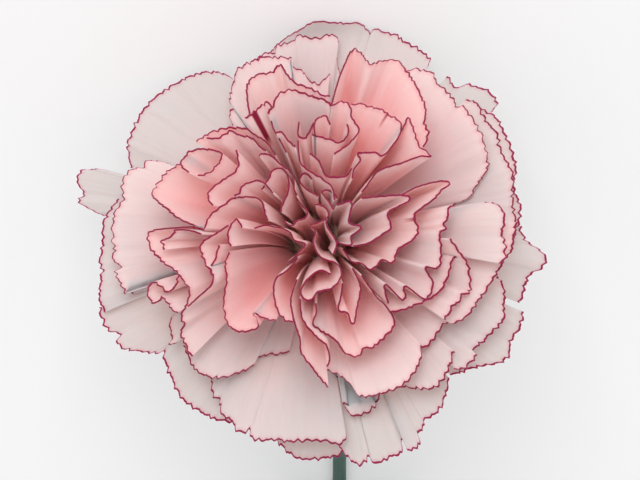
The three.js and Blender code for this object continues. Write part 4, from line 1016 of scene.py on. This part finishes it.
@dataclass
class Bloom:
    """All the petals, ring by ring. Each is a fan that rises from the throat to a free-form margin."""

    throat: float = 23.0
    throat_angle: float = math.radians(6)
    start: float = -3.0
    rows: int = 13
    thickness: float = 0.26
    tooth_pitch: float = 1.6
    stretch: int = 10
    tooth_shift: float = 2.4
    tooth_change: float = 2.6
    tooth_share: float = 0.6
    wave: float = 1.6
    claw: float = 12.0
    claw_share: float = 0.3
    broad_fold: float = 12.0
    fine_fold: float = 3.5
    streak_taper: float = 0.12
    least: float = 0.15
    softness: float = 1.2
    ring_seed: float = 10.0
    petal_seed: float = 1.37
    finish: PetalFinish = field(default_factory=PetalFinish)

    def build(self) -> None:
        """Make one piece for each ring of petals."""
        tree = self.tree()
        skin = self.finish.build()
        margins = Sight(self.throat, self.throat_angle, self.least, self.softness).margins()
        for number, ring in enumerate(RINGS):
            own, margins = margins[:len(ring.petals)], margins[len(ring.petals):]
            mesh = tree.run(self.margins(ring, number, own), {
                "Petals": len(ring.petals), "Columns": ring.columns, "Droop": math.radians(ring.droop),
                "Root": ring.root, "Bend": ring.bend, "Ripple": math.radians(ring.ripple),
                "Tooth": ring.tooth, "Material": skin,
            }, self.thickness)
            piece(ring.layer.value, mesh, HEAD.place(), skin, ("bloom",))

    def margins(self, ring: Ring, number: int, placed: list[np.ndarray]) -> bpy.types.Mesh:
        """Make the points of a ring's margins, evenly spaced along each petal.

        Args:
            ring: The ring of petals.
            number: The ring's place, from the outside in.
            placed: Its petals' margins, as azimuths, openings and lengths.

        Returns:
            A mesh of loose points, as many for each petal. A point's place holds its azimuth, opening
            and length, and its attributes how far along the margin it is and which petal it is on.
        """
        points: list[list[float]] = []
        carried: dict[str, list[float]] = {name: [] for name in CARRIED}
        for k, (petal, margin) in enumerate(zip(ring.petals, placed)):
            path = np.array(spline(margin.tolist(), self.stretch))
            path[:, :2] = np.radians(path[:, :2])
            edge = np.array([self.spot(ring, *point) for point in path])
            steps = np.linalg.norm(np.diff(edge, axis=0), axis=1)
            run = np.concatenate([[0.0], np.cumsum(steps)])
            even = np.linspace(0.0, run[-1], ring.columns)
            points += np.stack([np.interp(even, run, path[:, i]) for i in range(3)], axis=1).tolist()
            middle = np.average(edge[:, :2], axis=0)
            facing = math.atan2(middle[1], middle[0])
            turns = round((np.average(path[:, 0]) - facing) / (2 * math.pi))
            streak = petal.streak
            carried["run"] += even.tolist()
            carried["mark"] += (streak.width - np.abs(even - streak.place)).tolist()
            carried["facing"] += [facing + 2 * math.pi * turns] * ring.columns
            carried["seed"] += [self.ring_seed * number + self.petal_seed * k] * ring.columns
            carried["blush_and_shade"] += [petal.blush_and_shade] * ring.columns
            carried["reach"] += [streak.reach] * ring.columns
        mesh = bpy.data.meshes.new(ring.layer.value)
        mesh.from_pydata(points, [], [])
        for name, values in carried.items():
            mesh.attributes.new(name, "FLOAT", "POINT").data.foreach_set("value", values)
        return mesh

    def spot(self, ring: Ring, azimuth: float, opening: float, length: float) -> tuple[float, float, float]:
        """Where a petal's point stands in the head's frame, before any ripple.

        Args:
            ring: The petal's ring.
            azimuth: The point's azimuth, in radians.
            opening: The petal's angle from the bloom's axis there, in radians.
            length: How far the point is from the throat.

        Returns:
            Its three coordinates.
        """
        near = opening
        far = opening + math.radians(ring.droop)
        radius = ring.root
        height = self.throat
        for first, last, reach in ((self.throat_angle, near, ring.bend), (near, far, length - ring.bend)):
            half = (last - first) / 2
            chord = reach * math.sin(half) / half if abs(half) > 1e-6 else reach
            radius += chord * math.sin(first + half)
            height += chord * math.cos(first + half)
        return radius * math.cos(azimuth), radius * math.sin(azimuth), height

    def tree(self) -> GeometryGraph:
        """Build the tree that hangs a sheet from each petal's margin to the throat."""
        graph = GeometryGraph("petal_ring")
        petals = graph.number("Petals", "Int")
        columns = graph.number("Columns", "Int")
        droop, root, bend, ripple, tooth = (
            graph.number(name) for name in ("Droop", "Root", "Bend", "Ripple", "Tooth")
        )
        line = graph.node("GeometryNodeMeshLine")
        graph.feed(line.inputs["Count"], petals)
        grid = graph.node("GeometryNodeMeshGrid")
        sizes = {"Size X": 1.0, "Size Y": 1.0, "Vertices X": columns, "Vertices Y": self.rows + 1}
        for name, value in sizes.items():
            graph.feed(grid.inputs[name], value)
        order = Field(graph, graph.node("GeometryNodeInputIndex").outputs[0])
        numbered = graph.keep(line.outputs[0], "petal", order)
        copies = graph.node("GeometryNodeInstanceOnPoints")
        graph.feed(copies.inputs["Points"], numbered)
        placed = graph.keep(grid.outputs[0], "column", self.spread(graph, 0))
        placed = graph.keep(placed, "v", self.spread(graph, 1))
        graph.feed(copies.inputs["Instance"], placed)
        real = graph.node("GeometryNodeRealizeInstances")
        graph.feed(real.inputs[0], copies.outputs[0])

        column, v = graph.attribute("column") * (columns - 1.0), graph.attribute("v")
        place = graph.math("ROUND", graph.attribute("petal") * columns + column)
        here = graph.node("GeometryNodeInputPosition").outputs[0]
        azimuth, opening, length = graph.parts(graph.look_up(here, place, "FLOAT_VECTOR"))
        run, facing, seed, blush_and_shade, mark, reach = (
            Field(graph, graph.look_up(graph.attribute(name).socket, place, "FLOAT")) for name in CARRIED
        )
        along = graph.vector(run, 0.0, 0.0)
        jitter = graph.grain(along, seed, 0.5, 2.0) * self.tooth_shift
        strength = graph.grain(along, seed + 4.0, 0.35, 2.0) * self.tooth_change
        strength = (strength + self.tooth_share).most(0.1)
        saw = ((run / self.tooth_pitch + jitter).fraction() - 0.5).size() * 2.0
        wave = graph.grain(along, seed + 2.0, 0.2, 3.0) * self.wave
        margin = length + (saw - 0.5) * strength * tooth + wave * tooth
        out = (margin - self.start) * v + self.start
        inward = margin - out
        share = (out / length).most(0.0).least(1.0)

        narrow = out.ease(0.0, self.claw) * (1.0 - self.claw_share) + self.claw_share
        turn = facing + (azimuth - facing) * narrow
        radius, height, angle = self.midline(out, opening, droop, root, bend, length)
        broad = graph.grain(graph.vector(run, inward * 0.1, 0.0), seed + 3.0, 0.1, 1.0)
        fine = graph.grain(graph.vector(run, inward * 0.03, 0.0), seed + 5.0, 0.36, 1.0)
        lift = (broad * self.broad_fold * share**2.5 + fine * self.fine_fold * share**3.0) * ripple
        away = radius - lift * angle.cos()
        spot = self.rest(graph, away * turn.cos(), away * turn.sin(), height + lift * angle.sin())

        moved = graph.move(real.outputs[0], spot)
        moved = graph.keep(moved, "share", share)
        moved = graph.keep(moved, "blush_and_shade", blush_and_shade)
        moved = graph.keep(moved, "seed", seed)
        moved = graph.keep(moved, "streak", mark.least((reach - inward) * self.streak_taper))
        moved = graph.keep_map(moved, SURFACE_MAP, run, inward)
        graph.close(moved)
        return graph

    def spread(self, graph: GeometryGraph, axis: int) -> Field:
        """Read one of the grid's own coordinates as a share from 0 to 1."""
        return graph.parts(graph.node("GeometryNodeInputPosition").outputs[0])[axis] + 0.5

    def midline(self, out: Field, opening: Field, droop: Field, root: Field, bend: Field,
                length: Field) -> tuple[Field, Field, Field]:
        """Curve a petal from the throat to its margin in two arcs.

        Args:
            out: Distance along the petal.
            opening: Angle from the bloom's axis after the first arc.
            droop: What the second arc adds.
            root: Radius at the throat.
            bend: Length of the first arc.
            length: Length of the petal.

        Returns:
            The radius, height and angle there.
        """
        near = out.most(0.0).least(bend)
        far = (out - bend).most(0.0)
        first = near / bend * (opening - self.throat_angle)
        second = far / (length - bend) * droop
        turned = first + self.throat_angle
        radius, height = root, out.least(0.0) + self.throat
        for reach, start, bent in ((near, self.throat_angle, first), (far, turned, second)):
            half = bent * 0.5
            chord = reach * (1.0 - half * half / 6.0 + half**4.0 / 120.0)
            radius = radius + chord * (half + start).sin()
            height = height + chord * (half + start).cos()
        return radius, height, turned + second

    def rest(self, graph: Graph, x: Field, y: Field, z: Field) -> bpy.types.NodeSocket:
        """Bend what would reach below the surface, so that it lies along it."""
        up = HEAD.up()
        level = x * up.x + y * up.y + z * up.z + HEAD.base().z
        soft = self.least + self.softness
        below = ((soft - level) / self.softness).most(0.0)
        rise = self.softness / (below + 1.0) - self.softness + below * self.softness
        return graph.vector(x + rise * up.x, y + rise * up.y, z + rise * up.z)


@dataclass(frozen=True)
class WaxFinish:
    """Plant skin of one colour under a paler one, which lies over it in long fine streaks."""

    name: str
    green: Colour
    pale: Colour
    streak: float
    roughness: float = 0.5
    gloss: float = 0.35
    subsurface: float = 0.08
    subsurface_scale: float = 0.0008
    relief: float = 0.4
    relief_height: float = 0.0001

    def build(self) -> bpy.types.Material:
        """Make the material."""
        made = bpy.data.materials.new(self.name)
        made.use_nodes = True
        graph = Graph(made.node_tree)
        shader = made.node_tree.nodes["Principled BSDF"]
        maps = graph.node("ShaderNodeUVMap", uv_map=SURFACE_MAP)
        across, along, _ = graph.parts(maps.outputs[0])
        here = graph.node("ShaderNodeTexCoord").outputs["Object"]
        streaks = graph.grain(graph.vector(across * self.streak, along * 2.0, 0.0), 1.0, 1.0, 3.0)
        cloud = graph.grain(here, 2.0, 160.0, 4.0)
        speck = graph.grain(here, 3.0, 1800.0, 2.0)
        share = (cloud * 1.1 + streaks * 0.7 + speck * 0.35 + 0.38).most(0.0).least(1.0)
        mix = graph.node("ShaderNodeMix", data_type="RGBA")
        graph.feed(mix.inputs[0], share)
        mix.inputs[6].default_value = (*self.green, 1.0)
        mix.inputs[7].default_value = (*self.pale, 1.0)
        graph.feed(shader.inputs["Base Color"], mix.outputs[2])
        graph.feed(shader.inputs["Roughness"], share * 0.2 + self.roughness)
        shader.inputs["Specular IOR Level"].default_value = self.gloss
        shader.inputs["Subsurface Weight"].default_value = self.subsurface
        shader.inputs["Subsurface Scale"].default_value = self.subsurface_scale
        bump = graph.node("ShaderNodeBump")
        bump.inputs["Strength"].default_value = self.relief
        bump.inputs["Distance"].default_value = self.relief_height
        graph.feed(bump.inputs["Height"], streaks + speck * 0.3)
        graph.feed(shader.inputs["Normal"], bump.outputs[0])
        return made


CALYX_SKIN = WaxFinish("calyx_skin", linear(104, 134, 84), linear(158, 180, 134), 90.0)
STEM_SKIN = WaxFinish("stem_skin", linear(58, 86, 76), linear(104, 132, 122), 30.0)
LEAF_SKIN = WaxFinish("leaf_skin", linear(74, 106, 86), linear(132, 158, 144), 24.0)
CUT_SKIN = WaxFinish("cut_pith", linear(176, 190, 140), linear(214, 220, 184), 3.0, 0.6)
CLAW_SKIN = WaxFinish("claw_skin", linear(204, 156, 132), linear(224, 196, 172), 24.0, 0.6)


def circle(radius: float, height: float, count: int) -> np.ndarray:
    """Points round the head's axis."""
    angles = np.arange(count) * (2 * math.pi / count)
    return np.stack([radius * np.cos(angles), radius * np.sin(angles), np.full(count, height)], axis=1)


@dataclass
class Calyx:
    """The tube that holds the claws, with five pointed tips, and what fills it."""

    outline: tuple[tuple[float, float], ...] = (
        (3.2, 0), (4.6, 1), (5.8, 3.5), (6.6, 8), (7.1, 14), (7.5, 19), (7.9, 22.5),
    )
    tips: int = 5
    facets: int = 36
    tip_rows: int = 8
    tip_height: float = 3.4
    tip_lean: float = 1.2
    tip_shape: float = 1.15
    notch: float = 0.5
    bottom: tuple[float, float] = (0.2, -0.02)
    plain_rows: int = 3
    rib: float = 0.09
    ribs: int = 35
    wall: float = 0.5
    claws_outline: tuple[tuple[float, float], ...] = (
        (0.0, 2.2), (3.0, 2.2), (4.4, 4.0), (5.4, 9.0), (6.3, 20.0), (5.6, 25.0), (3.0, 27.5), (0.0, 28.0),
    )
    claws_sides: int = 96
    folds: int = 24
    fold: float = 0.03
    least: float = 0.001

    def build(self) -> None:
        """Make the tube and the bundle of claws inside it."""
        skin = CALYX_SKIN.build()
        columns = self.tips * self.facets
        angles = np.arange(columns) * (2 * math.pi / columns)
        relief = 1 + self.rib / self.outline[-1][0] * np.cos(self.ribs * angles)
        rows = [self.bottom, *spline(list(self.outline), 4)]
        grid = [circle(radius - self.wall / 2, height, columns) for radius, height in rows]
        within = np.arange(columns) % self.facets / self.facets
        share = 1 - np.abs(2 * within - 1)
        mouth, top = self.outline[-1]
        for k in range(1, self.tip_rows + 1):
            rise = k / self.tip_rows
            ring = circle(1.0, top, columns)
            reach = mouth - self.wall / 2 + self.tip_lean * share * rise
            ring[:, :2] *= reach[:, None]
            ring[:, 2] += rise * (self.notch + self.tip_height * share**self.tip_shape)
            grid.append(ring)
        for ring in grid[self.plain_rows:]:
            ring[:, :2] *= relief[:, None]
        mesh = sheet(np.array(grid), self.wall, closed=True)
        piece("calyx_tube", mesh, HEAD.place(), skin, ("calyx",))
        self.claws()

    def claws(self) -> None:
        """Fill the tube with the pale bundle of claws."""
        angles = np.arange(self.claws_sides) * (2 * math.pi / self.claws_sides)
        profile = spline(list(self.claws_outline), 5)
        grid = np.array([circle(max(radius, self.least), height, self.claws_sides)
                         for radius, height in profile])
        grid[:, :, :2] *= (1 + self.fold * np.cos(self.folds * angles))[None, :, None]
        piece("claw_bundle", solid(grid), HEAD.place(), CLAW_SKIN.build(), ("bloom",))


@dataclass
class Epicalyx:
    """Four short pointed bracts that clasp the calyx's base, in two pairs."""

    outline: tuple[tuple[float, float], ...] = (
        (3.0, -1.15), (4.5, -0.6), (5.6, 0.9), (6.65, 3.4), (7.3, 8.8),
    )
    half_width: float = math.radians(56)
    tip_width: float = 0.02
    widest: float = 0.35
    columns: int = 29
    stand_offs: tuple[float, float] = (0.42, 0.12)
    inset: float = 0.1
    keel: float = 0.25
    thickness: float = 0.45

    def build(self) -> None:
        """Make the bracts and join them in one piece."""
        meshes = [self.bract(k * math.pi / 2, self.stand_offs[k % 2]) for k in range(4)]
        piece("bracts", joined(meshes, "bracts"), HEAD.place(), CALYX_SKIN.build(), ("epicalyx",))

    def bract(self, facing: float, stand_off: float) -> bpy.types.Mesh:
        """Make one bract.

        Args:
            facing: Its azimuth.
            stand_off: How far it stands over the pair beneath it.

        Returns:
            Its mesh.
        """
        profile = spline(list(self.outline), 8)
        rows, columns = len(profile), self.columns
        grid = np.zeros((rows, columns, 3))
        for i, (radius, height) in enumerate(profile):
            share = i / (rows - 1)
            past = max(share - self.widest, 0) / (1 - self.widest)
            width = self.half_width * (1 - past**1.5) + self.tip_width
            for j in range(columns):
                across = 2 * j / (columns - 1) - 1
                angle = facing + across * width
                out = radius - self.inset + stand_off * smooth(share * 4)
                out += self.keel * share * (1 - across**2)
                grid[i, j] = (out * math.cos(angle), out * math.sin(angle), height)
        return sheet(grid, self.thickness)


@dataclass
class Stem:
    """The stem: swollen joints, a slanted cut, and a neck that rises to the bloom."""

    length: float = 150.0
    radius_cut: float = 1.8
    joint_radius: float = 2.4
    joint_length: float = 5.0
    joints: tuple[float, float] = (62.0, 128.0)
    joint_share: float = 0.96
    cut_slant: float = math.radians(50)
    cut_length: float = 6.0
    pith: tuple[tuple[float, float], ...] = (
        (0.86, -0.1), (0.86, 0.05), (0.8, 0.09), (0.4, 0.04), (0.05, 0.02),
    )
    receptacle: float = 2.9
    receptacle_length: float = 4.0
    end: float = 1.75
    sides: int = 40
    step: float = 1.0
    neck_steps: int = 30

    def radius(self, y: float) -> float:
        """The stem's radius at a distance back from the heel."""
        plain = HEAD.stem_radius + (self.radius_cut - HEAD.stem_radius) * max(y / self.length, 0)
        for joint in self.joints:
            off = (y - joint) / self.joint_length
            if abs(off) < 1:
                bump = math.cos(off * math.pi / 2) ** 2
                plain += (self.joint_radius - plain) * bump * (1.0 if off > 0 else self.joint_share)
        return plain

    def build(self) -> None:
        """Make the stem and its cut face."""
        rings = []
        steps = int(self.length / self.step)
        for k in range(steps, 0, -1):
            y = k * self.length / steps
            radius = self.radius(y)
            slant = math.tan(self.cut_slant) * smooth((y - self.length + self.cut_length) / self.cut_length)
            centre = Vector((0, y, HEAD.centre(radius)))
            rings.append(self.section(centre, radius, Vector((0, 0, 1)), slant))
        neck = HEAD.bend * HEAD.tilt - self.end
        for k in range(self.neck_steps + 1):
            along = neck * k / self.neck_steps
            angle = along / HEAD.bend
            flare = smooth(1 - (neck - along) / self.receptacle_length)
            radius = HEAD.stem_radius + (self.receptacle - HEAD.stem_radius) * flare
            centre = Vector((0, -HEAD.heel - HEAD.bend * math.sin(angle),
                             HEAD.centre(HEAD.stem_radius) + HEAD.bend * (1 - math.cos(angle))))
            rings.append(self.section(centre, radius, Vector((0, math.sin(angle), math.cos(angle))), 0))
        mesh = solid(np.array(rings))
        piece("stem_skin", mesh, Matrix.Identity(4), STEM_SKIN.build(), ("stem",))
        self.cut_face(rings[0])

    def section(self, centre: Vector, radius: float, up: Vector, slant: float) -> np.ndarray:
        """Points round the stem at one place.

        Args:
            centre: The section's centre.
            radius: The CAD section's radius. The round one just fits in it.
            up: The way from the centre to the top of the stem.
            slant: How far the section leans back for each millimetre of height.

        Returns:
            The points, in order.
        """
        fitted = HEAD.centre(radius)
        angles = np.arange(self.sides) * (2 * math.pi / self.sides)
        rise = -fitted * np.cos(angles)
        points = np.array(centre)[None, :] + rise[:, None] * np.array(up)[None, :]
        points[:, 0] += fitted * np.sin(angles)
        points[:, 1] += rise * slant
        return points

    def cut_face(self, rim: np.ndarray) -> None:
        """Make the pale pith that shows at the cut, a thin disc on the stem's end."""
        centre = rim.mean(axis=0)
        out = np.array((0.0, math.cos(self.cut_slant), -math.sin(self.cut_slant)))
        rings = [centre + (rim - centre) * share + out * lift for share, lift in self.pith]
        piece("cut_pith", solid(np.array(rings)), Matrix.Identity(4), CUT_SKIN.build(), ("stem",))


@dataclass(frozen=True)
class LeafShape:
    """One leaf: where it grows and how it bends. Angles are in degrees."""

    node: str
    joint: float
    elevation: float
    length: float
    spread: float
    curl: float


@dataclass
class Leaves:
    """Narrow channelled leaves, each clasping its joint."""

    shapes: tuple[LeafShape, ...] = (
        LeafShape("leaf_upper_right", 62, 27, 36, 26, 20),
        LeafShape("leaf_upper_left", 62, 153, 34, 30, 25),
        LeafShape("leaf_lower_right", 128, 34, 58, 24, 45),
        LeafShape("leaf_lower_left", 128, 150, 62, 22, 50),
    )
    joint_radius: float = 2.4
    gap: float = 0.35
    cad_thickness: float = 0.8
    thickness: float = 0.6
    sheath: float = 5.0
    clasp: float = math.radians(56)
    width: float = 5.6
    tip_width: float = 0.7
    channel: float = 9.0
    opening: float = 0.25
    taper: float = 2.2
    keel: float = 0.22
    wobble: float = 1.2
    steps: int = 60
    columns: int = 31
    rows: int = 141

    def build(self) -> None:
        """Make the four leaves with one tree."""
        tree = self.tree()
        skin = LEAF_SKIN.build()
        for shape in self.shapes:
            mesh = tree.run(self.path(shape), {
                "Length": shape.length, "Sheath": self.sheath, "Clasp radius": self.clasp_radius(),
                "Width": self.width, "Tip width": self.tip_width, "Material": skin,
            }, self.thickness)
            turn = Matrix.Rotation(-math.radians(shape.elevation), 4, "Y")
            place = Matrix.Translation((0, shape.joint, HEAD.centre(self.joint_radius))) @ turn
            piece(f"{shape.node}_blade", mesh, place, skin, (shape.node,))

    def clasp_radius(self) -> float:
        """Radius of the clasping base's middle."""
        return self.joint_radius + self.gap + self.cad_thickness / 2

    def path(self, shape: LeafShape) -> bpy.types.Mesh:
        """Make the line that the leaf's midrib follows, in the joint's own frame."""
        x, y = self.clasp_radius(), 0.0
        points = [(x, y, 0.0)]
        run = shape.length / self.steps
        for k in range(1, self.steps + 1):
            past = max((k * run - self.sheath) / (shape.length - self.sheath), 0)
            spread = math.radians(shape.spread) * smooth(past / self.opening)
            angle = spread + math.radians(shape.curl) * past**2
            x += run * math.sin(angle)
            y -= run * math.cos(angle)
            points.append((x, y, 0.0))
        mesh = bpy.data.meshes.new(shape.node)
        mesh.from_pydata(points, [(k, k + 1) for k in range(self.steps)], [])
        return mesh

    def tree(self) -> GeometryGraph:
        """Build the tree that sweeps a leaf's channelled section along its midrib."""
        graph = GeometryGraph("leaf_blade")
        names = ("Length", "Sheath", "Clasp radius", "Width", "Tip width")
        length, sheath, clasp_radius, width, tip_width = (graph.number(name) for name in names)
        curve = graph.node("GeometryNodeMeshToCurve")
        graph.feed(curve.inputs[0], graph.entry.outputs["Geometry"])
        grid = graph.node("GeometryNodeMeshGrid")
        sizes = {"Size X": 2.0, "Size Y": 1.0, "Vertices X": self.columns, "Vertices Y": self.rows}
        for name, value in sizes.items():
            graph.feed(grid.inputs[name], value)
        here = graph.node("GeometryNodeInputPosition")
        x, y, _ = graph.parts(here.outputs[0])
        kept = graph.keep(graph.keep(grid.outputs[0], "u", x), "v", y + 0.5)
        u, v = graph.attribute("u"), graph.attribute("v")
        spot = graph.node("GeometryNodeSampleCurve", mode="FACTOR")
        graph.feed(spot.inputs["Curves"], curve.outputs[0])
        graph.feed(spot.inputs["Factor"], v)
        mx, my, _ = graph.parts(spot.outputs["Position"])
        tx, ty, _ = graph.parts(spot.outputs["Tangent"])
        past = ((v * length - sheath) / (length - sheath)).most(0.0)
        opened = (past / self.opening).ease(0.0, 1.0)
        channel = clasp_radius + (self.channel - clasp_radius) * opened
        clasp_width = clasp_radius * (2 * self.clasp)
        outline = tip_width + (width - tip_width) * (1.0 - past**self.taper)
        turn = u * (clasp_width + (outline - clasp_width) * opened) / (channel * 2.0)
        keel = (1.0 - u.size()).ease(0.7, 1.0) * self.keel * opened
        wobble = graph.grain(graph.vector(v * 3.0, u * 0.4, 0.0), length, 1.0, 1.0) * opened * self.wobble
        inward = channel * (1.0 - turn.cos()) - keel - wobble
        place = graph.vector(mx + inward * ty, my - inward * tx, channel * turn.sin())
        moved = graph.move(kept, place)
        moved = graph.keep_map(moved, SURFACE_MAP, (u + 1.0) * 0.5, v)
        graph.close(moved)
        return graph


def main() -> None:
    """Build every sub-assembly in order."""
    logging.basicConfig(level=logging.INFO, format="%(name)s %(message)s")
    STUDIO.build()
    for assembly in (Stem(), Leaves(), Epicalyx(), Calyx(), Bloom()):
        assembly.build()


if __name__ == "__main__":
    main()
